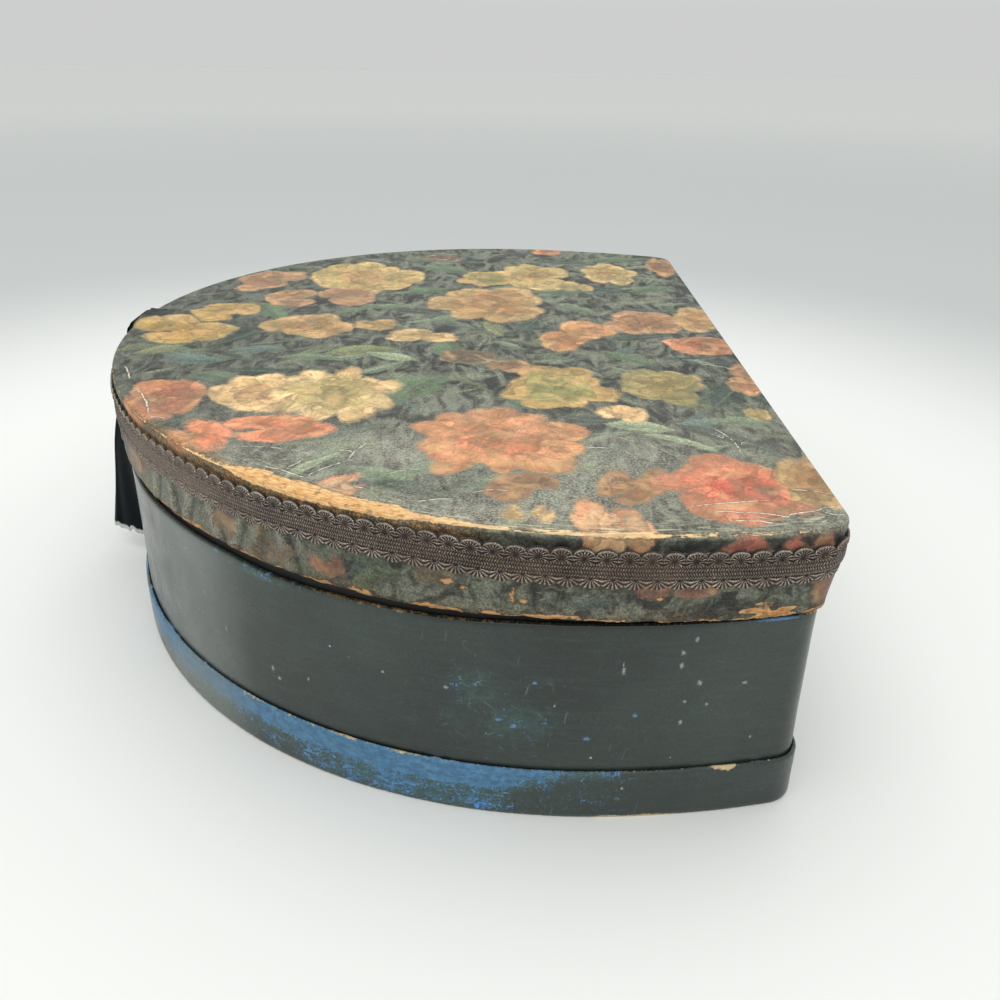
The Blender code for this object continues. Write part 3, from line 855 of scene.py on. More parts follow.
def make_lid_top():
    """The papered top, its rounded edge, and the paper's turn down to the braid."""
    flat_run = 0.003
    inner = PANEL_EDGE - flat_run
    x, y, faces, loop, s_loop = flat_grid(inner)
    distance, nearest = nearest_edge(x, y)
    points = [np.column_stack([x, y, np.full(len(x), LID_HEIGHT)])]
    unrolled, away, places, sheet = [np.column_stack([x, y])], [-distance], [nearest], [faces]
    gone, before, previous = 0.0, (inner, LID_HEIGHT), np.array(loop)
    for k, (offset, height) in enumerate(turned_rows()):
        gone += math.hypot(offset - before[0], height - before[1])
        before = (offset, height)
        points.append(np.column_stack([on_plan(s_loop, offset), np.full(len(loop), height)]))
        unrolled.append(on_plan(s_loop, inner + gone))
        away.append(np.full(len(loop), gone - flat_run))
        places.append(s_loop)
        now = len(x) + k * len(loop) + np.arange(len(loop))
        sheet.append(np.stack([previous, now, np.roll(now, -1), np.roll(previous, -1)], 1))
        previous = now
    px, py, pz = np.concatenate(points).T
    mm_x, mm_y = np.concatenate(unrolled).T * 1000
    s = np.concatenate(places)
    mm_s, inward = s * 1000, -np.concatenate(away) * 1000

    # Form: slow waves, the swell over the ribbon, and puckers near the right front corner.
    rise = 0.00035 * (rough_noise(mm_x / 60, mm_y / 60, 4) - 0.5) * smooth(0, 12, inward)
    rise += 0.00012 * (rough_noise(mm_x / 7, mm_y / 7, 9) - 0.5) * smooth(0, 2, inward)
    over, fold = ribbon_swell(mm_x, mm_y)
    over = over * (pz > LID_HEIGHT - 0.0015)
    fold = fold * over
    rise += over * (0.0014 + 0.0004 * (noise(mm_x / 4, mm_y / 4, 3) - 0.5))
    rise += fold * 0.0009 * (noise(mm_x / 2.2, mm_y / 1.4, 19) - 0.2)
    pucker = smooth(26, 4, inward) * between(mm_s, 640, 690, 715, 740) * (inward > 0.5)
    rise += 0.0008 * pucker * (noise(inward / 1.7, mm_s / 14, 31) - 0.35)

    # Wear and painted light: bare board along the edge, dust with painted sheen toward the front, rubbed
    # paper, painted shade in the fold over the ribbon and on the turned-down right front edge, stains.
    worn = table_of(BARE_EDGE, s)
    along = rough_noise(mm_s / 9, inward / 30, 6)
    bare = worn * (0.45 + 1.1 * along) - inward
    below = worn * 0.5 - 1.4 + 1.2 * inward + 1.6 * along
    bare = np.where(inward < 0, np.minimum(bare, below), bare)
    rise -= 0.00012 * smooth(0, 1.0, bare) * (inward > 0)
    values = floral(mm_x, mm_y).attributes()
    values["bare"] = np.clip(bare, -FAR, FAR)
    # Dust with painted sheen, mostly toward the front and weaker toward the right.
    front = smooth(-60, -165, mm_y) * rough_noise(mm_x / 26, mm_y / 26, 8) * smooth(-240, -170, mm_x)
    values["dust_and_sheen"] = (0.04 + 0.96 * front) * (1 - 0.35 * smooth(-80, -30, mm_x)) * smooth(-1.5, 0.5, inward)
    scuff = smooth(14, 2, inward) * between(mm_s, 500, 540, 700, 735) * (inward > 0)
    values["scuff"] = 0.85 * scuff * (0.25 + 0.75 * rough_noise(mm_s / 20, inward / 5, 5))
    # Painted shade on the paper turned down over the right front edge, kept with the painted shade in the
    # fold over the ribbon.
    painted_shade = smooth(-0.3, -1.2, inward) * smooth(600, 625, mm_s)
    painted_shade = painted_shade * (0.46 + 0.5 * rough_noise(mm_s / 12, inward, 14))
    values["fold"] = np.maximum(fold * (inward > -0.5), painted_shade)
    turned_down = smooth(0, -1.5, inward)
    values["stain"] = turned_down * (0.12 + 0.88 * between(mm_s, 470, 495, 600, 622))
    values["stain"] += 0.75 * smooth(5.5, 1.0, inward) * between(mm_s, 462, 485, 530, 545) * (1 - turned_down)
    values["along"] = flat_map(s, inward / 1000)
    finish = paper_finish("floral_paper", 3.4, 1.0, (204, 138, 68), (250, 206, 142))
    points = lid_place(px, py, pz + rise)
    faces = np.concatenate(sheet).tolist()
    return add_piece("lid_paper_top", "lid_panel", finish, points, faces, values)


make_lid_top()

# The paper on the lid's side

# s, h, across, along, turn, petals, colours, seed: millimetres along the outline and up the lid's side.
SIDE_BLOOMS = [
    (567, 6, 12, 8, 0, 3, ROSE, 91),
    (528, 8, 12, 14, 20, 4, DUSKY, 92),
    (543, 7, 10, 16, -20, 3, DUSKY, 93),
    (552, 5, 8, 7, 0, 3, BROWN, 94),
    (660, 10, 10, 6, 0, 4, ROSE, 95),
    (672, 10, 11, 5, 0, 4, ROSE, 96),
    (711, 9, 9, 13, 0, 4, ROSE, 107),
    (600, 10, 12, 7, 0, 4, DUSKY, 108),
    (474, 9, 14, 10, 20, 4, SALMON, 97),
    (462, 6, 17, 9, -10, 5, SALMON, 98),
    (402, 5, 24, 12, 0, 7, OCHRE, 99),
    (388, 10, 11, 8, 0, 4, OLIVE_YELLOW, 100),
    (322, 8, 22, 13, 0, 6, CORAL, 101),
    (306, 5, 14, 8, 20, 4, SALMON, 109),
    (246, 8, 15, 11, 0, 5, CREAM, 110),
    (232, 5, 22, 11, 0, 7, PEACH, 111),
    (168, 10, 12, 8, 0, 4, OLIVE_YELLOW, 112),
    (152, 6, 20, 13, 10, 6, SALMON, 113),
    (74, 9, 13, 9, 0, 4, YELLOW, 114),
    (58, 5, 22, 11, 0, 6, YELLOW, 115),
    (762, 9, 16, 12, 0, 5, CORAL, 103),
    (776, 5, 13, 8, -20, 4, ROSE, 116),
    (826, 6, 24, 13, 0, 8, PEACH, 104),
    (843, 10, 12, 8, 0, 4, YELLOW_GREEN, 117),
    (903, 9, 18, 11, 0, 5, CREAM, 105),
    (918, 5, 14, 8, 0, 4, PEACH_ORANGE, 118),
    (980, 7, 24, 13, 0, 7, GREAT_CORAL, 106),
    (1000, 10, 12, 8, 10, 4, CORAL, 119),
]
BARE_SIDE = [
    (0, 0.6), (300, 0.8), (470, 0.5), (500, 0.7), (512, 1.3), (524, 1.0), (545, 0.6), (572, 0.6),
    (585, 0.8), (600, 1.1), (618, 0.8), (630, 1.2), (648, 1.0), (656, 0.4), (678, 0.5), (686, 2.2),
    (700, 3.6), (710, 1.6), (716, 0.5), (760, 0.5), (1046, 0.6),
]
# s, h, half length, half height: torn bits further up the side, in millimetres.
TORN_BITS = [
    (604, 8.5, 2.6, 1.2), (608, 7.4, 1.4, 0.8), (622, 6.5, 1.0, 3.2), (625, 5.0, 1.6, 1.4),
    (662, 7.0, 1.8, 0.9), (692, 4.4, 4.0, 1.0), (340, 6.0, 2.0, 1.0), (820, 7.5, 2.4, 1.0),
    (940, 5.0, 1.6, 1.4), (90, 6.0, 2.0, 1.2),
]
# Folds in the paper where it was gathered round the curve: s and lean, in millimetres.
PLEATS = [
    (486, 4), (497, -3), (508, 5), (521, -4), (533, 5), (541, 3), (552, -4), (430, 3), (395, -4),
    (352, 4), (300, -3), (246, 4), (190, -4), (120, 3), (40, -3),
]


def make_lid_side():
    """The paper round the lid's side, gathered in folds and torn along its lower edge."""
    profile = line((RIM_OUTER, 0.0), (RIM_OUTER, SIDE_PAPER_TOP), 18)
    profile += [(RIM_OUTER, SIDE_PAPER_TOP), (RIM_INNER, SIDE_PAPER_TOP)]
    profile += line((RIM_INNER, 0.0165), (RIM_INNER, 0.0), 3) + [(RIM_INNER, 0.0)]
    s, offset, height, faces = hoop(ROUND_MM, profile)
    outer = offset > RIM_OUTER - 1e-6
    mm_s, mm_h = s * 1000, height * 1000
    fold = np.zeros(len(s))
    for place, lean in PLEATS:
        across = mm_s - place - lean * (mm_h - 8) / 12
        fold += np.exp(-((across / 1.6) ** 2)) - 0.5 * np.exp(-(((across - 3) / 1.2) ** 2))
    fold *= smooth(19, 12, mm_h)
    ragged = rough_noise(mm_s / 5, 0, 61) - 0.5 + 0.6 * (noise(mm_s / 1.3, 0, 62) - 0.5)
    lower = np.exp(-mm_h / 1.5)
    sag = between(mm_s, 520, 550, 600, 628)
    height = height - outer * lower * 0.0007 * sag
    height = height + outer * lower * 0.0007 * (ragged - 0.1) + outer * lower * 0.0005 * fold
    offset = offset + outer * (0.0007 * fold + 0.00025 * (rough_noise(mm_s / 25, mm_h / 12, 64) - 0.5))
    # The front right corner's lower edge is pressed in.
    pinch = between(mm_s, 690, 712, 716, 738) * smooth(13, 0, mm_h)
    offset = offset - 0.0012 * pinch * outer
    points = lid_place(*on_plan(s, offset).T, height)
    paper = Print(mm_s, mm_h)
    scatter = np.random.default_rng(5)
    for k in range(SIDE_STROKES):
        colour = (DEEP, BLUE, OLIVE, GREEN)[scatter.integers(4)]
        faded = toward(colour, (48, 60, 56), 0.5)
        long = scatter.uniform(10, 24)
        place = scatter.uniform(0, ROUND_MM), scatter.uniform(0, 20)
        paper.blade(*place, long, long * 0.25, scatter.uniform(-60, 60), faded, k)
    for *size, colours, seed in SIDE_BLOOMS:
        paper.bloom(*size, [toward(colour, (70, 66, 58), 0.28) for colour in colours], seed)
    values = paper.attributes()
    bare = table_of(BARE_SIDE, s) * (3.6 * rough_noise(mm_s / 5.5, mm_h / 1.3, 66) - 0.85) - mm_h
    for s0, h0, half_s, half_h in TORN_BITS:
        bare = np.maximum(bare, 0.9 - 0.9 * np.hypot((mm_s - s0) / half_s, (mm_h - h0) / half_h))
    values["bare"] = np.where(outer, bare, -2.0)
    # Dust with painted sheen, stronger on the left of the side, and painted highlights on the ridges of the
    # pleats.
    values["dust_and_sheen"] = 0.07 + 0.34 * between(mm_s, 440, 480, 510, 590) + 0.35 * outer * np.clip(fold, 0, 1)
    values["scuff"] = 0.12 * rough_noise(mm_s / 15, mm_h / 4, 70)
    # Painted shade in the hollows of the pleats.
    values["fold"] = np.clip(-1.2 * outer * fold, 0, 0.75)
    values["stain"] = 0.55 * smooth(5, 0, mm_h) * rough_noise(mm_s / 9, 0, 71)
    values["along"] = flat_map(s, height)
    # Its third value, 0.76, is painted shade that makes the side darker than the top.
    finish = paper_finish("floral_paper_side", 2.6, 0.76, (178, 106, 44), (238, 176, 98))
    return add_piece("lid_paper_side", "lid_rim", finish, points, faces.tolist(), values)


make_lid_side()

# The braid


def gimp_finish():
    """Ribs that fan out in each scallop, a pale cord round its edge, and a twisted plait between the rows."""
    f = Finish("gimp_braid")
    u, v, brim = f.split(f.attribute("weave", "Vector"))

    def fan(shift, centre, upward, count):
        across = (f.math("FRACT", u + shift) - 0.5) * SCALLOP_MM
        up = (v - centre) * upward
        around = f.math("ARCTAN2", across, up)
        ribs = f.math("COSINE", around * count) * 0.5 + 0.5
        far = f.math("SQRT", across * across + up * up)
        return ribs, far

    ribs, far = fan(0.0, SCALLOP_CENTRE, 1.0, 15.0)
    low_ribs, low_far = fan(LOW_SCALLOP_SHIFT, -2.7, -1.0, 14.0)
    twist = f.math("SINE", u * 82.0 + brim * 9.0)
    cord = f.step(f.math("ABSOLUTE", brim - 0.3), 0.1, 0.34, (0.82, 0.0))
    cord = cord * (twist * 0.22 + 0.95)
    band = v / 1.24 + 2.15
    side = f.math("GREATER_THAN", f.math("FRACT", band * 0.5), 0.5) * 2.0 - 1.0
    t = f.math("FRACT", band)
    lean = t * side * 4.2
    thread = f.math("SINE", u * 50.0 + lean)
    swell = f.math("SINE", t * math.pi)
    plait = (thread * 0.34 + 0.44) * (swell * 0.75 + 0.25)
    upper = f.step(v, 1.75, 2.05)
    lower = f.step(v, -2.7, -2.4, (1.0, 0.0))
    wedge = (1.0 - ribs) * f.step(far, 0.7, 1.5)
    inner = 0.86 - wedge * 1.25
    inner = inner - f.step(far, 0.5, 1.5, (0.75, 0.0))
    inner = inner * f.step(brim, 0.48, 0.72)
    height = f.math("MAXIMUM", inner, cord)
    low_height = low_ribs * 0.85 * f.step(low_far, 0.35, 0.8)
    level = height * upper + low_height * lower
    middle = 1.0 - upper - lower
    level = level + plait * middle
    here = f.where()
    hair = f.noise(here, 2600, 2)
    aged = f.noise(here, 110, 4, 0.6)
    shade = level + (hair - 0.5) * 1.3
    shade = shade + (aged - 0.5) * 0.5
    # Colour follows the braid's height: painted shade in the hollows between the threads and painted
    # highlights on the raised threads and cord.
    colour = f.mix(f.step(shade, 0.12, 0.58), rgba(24, 19, 16), rgba(118, 100, 86))
    colour = f.over(colour, f.step(shade, 0.66, 1.15), 226, 214, 196)
    colour = f.over(colour, f.step(f.noise(here, 45, 3), 0.45, 0.75, (0.0, 0.4)), 92, 72, 54)
    # Painted glare, with fuzz, that makes the braid's left part paler.
    left = f.step(u, 74, 80) * f.step(u, 84, 91, (0.4, 0.0))
    colour = f.over(colour, left * f.step(hair, 0.3, 0.65), 176, 156, 132)
    normal = f.bump(level, 0.0004, 1.0, f.bump(hair, 0.00008, 0.5))
    return f.done(colour, 0.78, normal, Specular_IOR_Level=0.3, Sheen_Weight=0.15, Sheen_Roughness=0.5)


def make_gimp():
    """The braid: two rows of scallops with a raised cord, and a flat back against the paper."""
    scallops = round(PERIMETER / GIMP_SCALLOP_PITCH)
    columns = scallops * SCALLOP_COLUMNS
    u = np.linspace(0, scallops, columns + 1)
    s = u / scallops * PERIMETER
    phase = u % 1.0
    arch = np.sqrt(np.clip(1 - (2 * phase - 1) ** 2, 0, 1)) ** 0.9
    low_phase = (u + LOW_SCALLOP_SHIFT) % 1.0
    low_arch = np.sqrt(np.clip(1 - (2 * low_phase - 1) ** 2, 0, 1)) ** 0.9
    vary = noise(np.floor(u) * 1.7, 3, 8) - 0.5
    top = 3.75 + (2.25 + 0.3 * vary) * arch
    bottom = -4.3 - (1.7 + 0.3 * vary) * low_arch
    rows = 27
    t = np.linspace(0, 1, rows)[None, :]
    v = bottom[:, None] + (top - bottom)[:, None] * t
    uu = np.repeat(u[:, None], rows, 1)
    ss = np.repeat(s[:, None], rows, 1)
    mm = ss * 1000
    far = np.hypot((uu % 1.0 - 0.5) * SCALLOP_MM, v - SCALLOP_CENTRE)
    low_far = np.hypot(((uu + LOW_SCALLOP_SHIFT) % 1.0 - 0.5) * SCALLOP_MM, v + 2.9)
    proud = 0.80 + 0.22 * np.cos(v / 3.3) - 0.25 * np.exp(-(((np.abs(v) - 2.5) / 0.35) ** 2))
    cord = 0.35 * np.exp(-(((top[:, None] - v - 0.45) / 0.35) ** 2))
    proud += np.where(v > 2.2, cord - 0.30 * np.exp(-((far / 0.9) ** 2)), 0)
    proud += np.where(v < -2.8, -0.25 * np.exp(-((low_far / 0.7) ** 2)), 0)
    edge = np.minimum(top[:, None] - v, v - bottom[:, None])
    proud *= 0.45 + 0.55 * smooth(0, 0.5, edge)
    proud += 0.12 * (rough_noise(mm / 4, v / 3, 12) - 0.5)
    wander = 0.5 * (rough_noise(mm / 45, 0, 21) - 0.5) + 0.7 * between(mm, 545, 562, 590, 625)
    wander += 0.35 * between(mm, 480, 500, 600, 625) - 0.45 * between(mm, 632, 660, 700, 712)
    lift = 0.35 * smooth(0.55, 1.0, t) * noise(mm / 14, 1, 15)
    lift = lift + 0.25 * smooth(0.4, 0.0, t) * noise(mm / 11, 2, 16)
    pinch = between(mm, 700, 714, 718, 734) * smooth(0, -6, v)
    offset = GIMP_INNER + (proud + lift - 0.9 * pinch) * 0.001
    height = GIMP_MIDDLE + (v + wander) / 1000
    flank = on_plan(ss, offset)
    front = lid_place(flank[..., 0], flank[..., 1], height)
    inside = on_plan(ss, np.full_like(offset, RIM_OUTER + 0.0001))
    back = lid_place(inside[..., 0], inside[..., 1], height)[:, ::-1][:, [0, rows // 2, rows - 1]]
    points = np.concatenate([front, back], 1)
    weave = np.stack([uu, v, top[:, None] - v], -1)
    weave = np.concatenate([weave, weave[:, ::-1][:, [0, rows // 2, rows - 1]]], 1)
    faces = quads(columns + 1, rows + 3, wrap_rows=True)
    return add_piece("gimp_braid", "gimp_trim", gimp_finish(), points.reshape(-1, 3),
                     faces.tolist(), {"weave": weave.reshape(-1, 3)})


make_gimp()

# The ribbon


def apex_x(offset):
    """The rounded end's furthest x at this offset."""
    return -(SIDE_RUN + END_RADIUS + offset)


def rounded(corner, before, after, radius, steps=7):
    """A bend in the x, z plane from direction before to direction after."""
    (cx, cz), (bx, bz), (ax, az) = corner, before, after
    points = []
    for k in range(steps):
        t = math.pi / 2 * k / (steps - 1)
        c, s = 1 - math.sin(t), 1 - math.cos(t)
        points.append((cx - bx * radius * c + ax * radius * s, cz - bz * radius * c + az * radius * s))
    return points


def ribbon_path():
    """The ribbon's middle line as rows of (x, y, z, twist) in the lid's frame, as the part has it."""
    half = RIBBON_THICKNESS / 2
    above = LID_HEIGHT + GAP + half
    below = PANEL_UNDERSIDE - GAP - half
    slot_x = apex_x(RIM_INNER) + LID_RIM_PLAY + NECK_THICKNESS + SLOT_MARGIN
    hang_x = apex_x(max(PANEL_EDGE, GIMP_OUTER)) - GAP - half
    tight = min(RIBBON_BEND_RADIUS, LID_PANEL_THICKNESS / 2)
    path = [(slot_x + RIBBON_FLAP, below)]
    path += rounded((slot_x, below), (-1, 0), (0, 1), tight)
    path += rounded((slot_x, above), (0, 1), (-1, 0), tight)
    path += rounded((hang_x, above), (-1, 0), (0, -1), RIBBON_BEND_RADIUS)
    rows = [(x, RIBBON_SIDESTEP, z, 0.0) for x, z in path]
    start = above - RIBBON_BEND_RADIUS
    for k in range(1, FALL_STEPS + 1):
        fallen = k / FALL_STEPS
        swung = min(1, fallen / SWING_SHARE)
        x = hang_x - RIBBON_FLARE * fallen**FLARE_POWER
        y = RIBBON_SIDESTEP - RIBBON_SWING * (3 - 2 * swung) * swung**2
        z = start - (RIBBON_DROP - RIBBON_BEND_RADIUS) * fallen
        rows.append((x, y, z, RIBBON_TWIST * fallen))
    return np.array(rows)


def ribbon_finish():
    """Blue-black velvet, paler in a strip along its curled edge, with pale frayed threads at its end."""
    f = Finish("velvet_ribbon")
    across, _, _ = f.split(f.attribute("cloth", "Vector"))
    here = f.where()
    ribs = f.math("SINE", across * 9000.0)
    pile = f.noise(f.where("cloth", (1.0, 0.12, 1.0)), 1400, 3, 0.6)
    colour = f.mix(f.step(pile, 0.3, 0.75), rgba(5, 9, 14), rgba(13, 20, 27))
    # A paler strip along the curled edge.
    edge = f.step(f.attribute("paler_edge_strip"), 0.0, 1.0)
    colour = f.over(colour, edge * 0.75, 34, 56, 52)
    frayed = f.step(f.attribute("frayed") + f.noise(here, 2200, 3) * 0.5, 0.55, 0.9)
    colour = f.over(colour, frayed, 190, 192, 188)
    height = ribs * 0.4 + pile
    return f.done(colour, 0.72, f.bump(height, 0.00012, 0.6), Specular_IOR_Level=0.12, Sheen_Weight=0.02,
                  Sheen_Roughness=0.35, Sheen_Tint=rgba(150, 175, 185))


def make_ribbon():
    """A thin strip along the ribbon's path, waved where it hangs free, with a ragged end."""
    path = ribbon_path()
    steps = np.linalg.norm(np.diff(path[:, :3], axis=0), axis=1)
    run = np.concatenate([[0], np.cumsum(steps)])
    length = run[-1]
    rows, columns = 170, 27
    place = np.linspace(0, length, rows)
    x, y, z, twist = (np.interp(place, run, path[:, k]) for k in range(4))
    tangent = np.gradient(np.column_stack([x, y, z]), axis=0)
    tangent /= np.linalg.norm(tangent, axis=1)[:, None]
    across = np.column_stack([np.sin(twist), np.cos(twist), np.zeros(rows)])
    normal = np.cross(across, tangent)
    normal /= np.linalg.norm(normal, axis=1)[:, None]
    w = np.linspace(-1, 1, columns)
    free = smooth(0.040, 0.060, place)[:, None]
    half = RIBBON_WIDTH / 2
    wave = 0.0007 * np.sin(w[None, :] * 4.0 + place[:, None] * 60) * free
    wave += 0.0011 * free * np.exp(-(((w[None, :] - 0.86) / 0.16) ** 2))
    cut = noise(w * 9, 0.0, 4) - 0.5 + 0.5 * (noise(w * 23, 1.0, 6) - 0.5)
    middle = np.column_stack([x, y, z])[:, None, :] + across[:, None, :] * (w * half)[None, :, None]
    stretch = smooth(length - 0.006, length, place)[:, None] * (0.0022 * cut)[None, :]
    middle = middle + normal[:, None, :] * wave[..., None] + tangent[:, None, :] * stretch[..., None]
    thick = 0.00028 * (1 - 0.35 * np.abs(w[None, :, None]) ** 8)
    face, rear = middle + normal[:, None, :] * thick, middle - normal[:, None, :] * thick
    section = np.concatenate([face, rear[:, ::-1]], 1)
    count = 2 * columns
    points = section.reshape(-1, 3)
    faces = quads(rows, count, wrap_rows=True).tolist()
    for row, turn in ((0, 1), (rows - 1, -1)):
        for k in range(columns - 1):
            a = row * count + np.array([k, k + 1, count - 2 - k, count - 1 - k])
            faces.append(a[::turn].tolist())
    both = np.concatenate([w, w[::-1]])
    cloth = np.stack(np.broadcast_arrays(both[None, :] * half, place[:, None], 0.0), -1).reshape(-1, 3)
    # The paler strip lies along the curled edge.
    paler_edge_strip = np.broadcast_to(smooth(0.78, 0.9, both)[None, :], (rows, count)).ravel()
    end = np.broadcast_to(smooth(length - 0.0035, length, place)[:, None], (rows, count)).ravel()
    piece = add_piece("pull_ribbon_cloth", "pull_ribbon", ribbon_finish(),
                      lid_place(*points.T), faces, {"cloth": cloth, "paler_edge_strip": paler_edge_strip, "frayed": end})
    return piece


make_ribbon()

# The painted body

# s, h, half length, half height: millimetres on the body's side.
PALE_SPECKS = [
    (655.5, 54.8, 0.9, 2.0), (655.3, 56.8, 0.4, 1.4), (676, 65, 0.9, 1.2), (672.5, 60.5, 1.1, 1.2),
    (672.4, 56.0, 1.0, 1.5), (678.5, 49.5, 1.1, 1.5), (692.5, 48.3, 1.1, 0.9), (674.6, 43, 0.7, 0.8),
    (681.5, 41.5, 0.8, 0.9), (674.0, 35.4, 0.9, 1.3), (697, 27.5, 0.6, 0.7), (603.5, 45.2, 1.0, 1.1),
    (583.5, 46.4, 0.8, 0.8), (541, 33.5, 0.9, 1.6), (543.5, 30.5, 1.0, 1.2), (556, 35, 0.6, 1.0),
    (519, 40, 0.8, 1.5), (636, 42, 0.5, 0.8), (300, 44, 0.9, 1.4), (240, 30, 0.8, 0.9),
    (160, 52, 0.9, 1.6), (860, 40, 0.9, 1.3), (930, 55, 0.7, 1.1), (60, 36, 0.9, 1.2),
]
BLUE_CHIPS = [
    (646, 30, 1.6, 1.0), (660, 38.6, 1.1, 1.1), (519, 69.6, 1.8, 0.8), (533, 69.5, 1.6, 0.5),
    (543, 69.4, 1.4, 0.6), (553, 69.6, 0.9, 0.6), (612.5, 47.5, 0.8, 0.9), (624, 33.5, 1.4, 1.2),
    (619.5, 35.5, 1.8, 0.8), (630, 50, 1.0, 0.9), (700, 69.9, 10.0, 0.8), (210, 68.9, 6.0, 1.0),
    (890, 69.2, 5.0, 0.9), (350, 45, 1.2, 1.0), (120, 26, 1.4, 1.0),
]
# s, h, reach along, reach up, strength of the blue that shows through rubbed paint.
RUBBED = [
    (612, 46, 16, 16, 0.54), (626, 35, 18, 12, 0.6), (606, 34, 10, 8, 0.5), (646, 26, 18, 9, 0.36),
    (631, 50, 9, 7, 0.45), (536, 69, 26, 4, 0.62), (300, 40, 30, 18, 0.45), (150, 30, 26, 14, 0.5),
    (850, 40, 40, 18, 0.45), (960, 28, 26, 12, 0.5),
]
TAN_LEDGE = [
    (0, 0.1), (500, 0.0), (552, 0.0), (560, 0.14), (585, 0.2), (605, 0.18), (622, 0.06), (650, 0.0),
    (700, 0.0), (714, 0.5), (740, 0.1), (1046, 0.1),
]


def paint_finish(name, base, lighter, blue_low, blue_high, dark_tan, pale_tan):
    """Old oil paint on board: brushed green-black, blue rubbed through, bare edges, drips and specks."""
    f = Finish(name)
    here = f.where()
    on_wall = f.where("along")
    brushed = f.noise(f.where("along", (0.25, 2.2, 1.0)), 260, 4, 0.6, 0.4)
    broad = f.noise(on_wall, 18, 3)
    fine = f.noise(here, 1300, 3, 0.6)
    colour = f.mix(f.step(broad, 0.3, 0.75), rgba(*base), rgba(*lighter))
    colour = f.over(colour, f.step(brushed, 0.45, 0.8, (0.0, 0.35)), 62, 78, 72)
    colour = f.shaded(colour, f.step(fine, 0.3, 0.7, (0.82, 1.18)))

    # Blue that shows where the dark paint has worn through, with a teal haze round it.
    rub = f.noise(f.where("along", (0.55, 1.0, 1.0)), 520, 5, 0.74, 0.4)
    patch = f.noise(on_wall, 95, 3, 0.6)
    wearing = (patch - 0.5) * 1.1 + (rub - 0.5)
    through = f.attribute("blue") + wearing * 1.2
    through = through + (fine - 0.5) * 1.6
    blue = f.step(through, blue_low, blue_high) * f.step(fine, 0.3, 0.62, (0.8, 1.0))
    sky = f.mix(f.step(rub, 0.38, 0.68), rgba(44, 104, 172), rgba(100, 166, 230))
    colour = f.mix(blue, colour, sky)
    teal = f.attribute("blue") * f.noise(on_wall, 240, 5, 0.75)
    colour = f.over(colour, f.step(teal, 0.16, 0.40, (0.0, 0.55)), 64, 100, 96)

    # Chips, drips, specks and scratches.
    ragged = f.noise(on_wall, 1500, 3, 0.7)
    chips = f.spots(f.where("along", (1000, 1000, 1)), BLUE_CHIPS) + ragged * 2.2
    colour = f.over(colour, f.step(chips, 1.3, 2.0, (0.85, 0.0)), 92, 134, 178)
    specks = f.spots(f.where("along", (1000, 1000, 1)), PALE_SPECKS) + ragged * 2.0
    pale = f.step(specks, 1.1, 1.9, (0.62, 0.0))
    dots = f.feed(f.node("TexVoronoi"), Vector=on_wall, Scale=120)
    chance = f.feed(f.node("SeparateColor"), Color=dots.outputs["Color"])
    small = f.step(dots.outputs["Distance"], 0.035, 0.07, (0.8, 0.0)) * f.step(chance.outputs[0], 0.62, 0.7)
    pale = f.math("MAXIMUM", pale, small)
    colour = f.over(colour, pale, 176, 184, 178)
    worked = f.math("ADD", f.attribute("blue") * 1.6, 0.12, clamp=True)
    for turn, long, scale in ((1.4, 9.0, 900), (0.5, 7.0, 1000), (2.5, 8.0, 1100)):
        scratch = f.step(f.noise(f.streaks("along", turn, long), scale, 2), 0.66, 0.75, (0.0, 0.5))
        colour = f.over(colour, scratch * worked, 124, 148, 146)

    # Bare board, a painted reflection that makes the rounded end paler, painted shadow, gloss and relief.
    bare = f.attribute("bare") + (f.noise(here, 700, 4, 0.7) - 0.5) * 1.6
    bare = bare + (fine - 0.5) * 1.4
    bare = f.step(bare, 0.0, 0.6)
    colour = f.mix(bare, colour, f.mix(fine, rgba(*dark_tan), rgba(*pale_tan)))
    place, _, _ = f.split(on_wall)
    # Painted reflection that makes the rounded end paler.
    painted_reflection = f.step(place, 0.46, 0.5) * f.step(place, 0.508, 0.536, (0.55, 0.0))
    painted_reflection = painted_reflection * f.step(broad, 0.3, 0.6, (0.6, 1.0))
    colour = f.over(colour, painted_reflection, 118, 126, 120)
    # Painted shadow along the foot of the wall and under the lid's edge.
    painted_shadow = f.step(f.attribute("painted_shadow"), 0.0, 1.0)
    colour = f.over(colour, painted_shadow, 18, 20, 20)
    rough = f.step(f.noise(here, 70, 4, 0.6), 0.3, 0.75, (0.21, 0.36))
    rough = rough + f.math("MAXIMUM", blue, bare) * 0.2
    relief = brushed * 0.6 + pale * 0.8
    relief = relief - blue * 0.35
    normal = f.bump(relief, 0.00012, 0.6, f.bump(fine, 0.00003, 0.4))
    return f.done(colour, rough, normal, IOR=1.5)


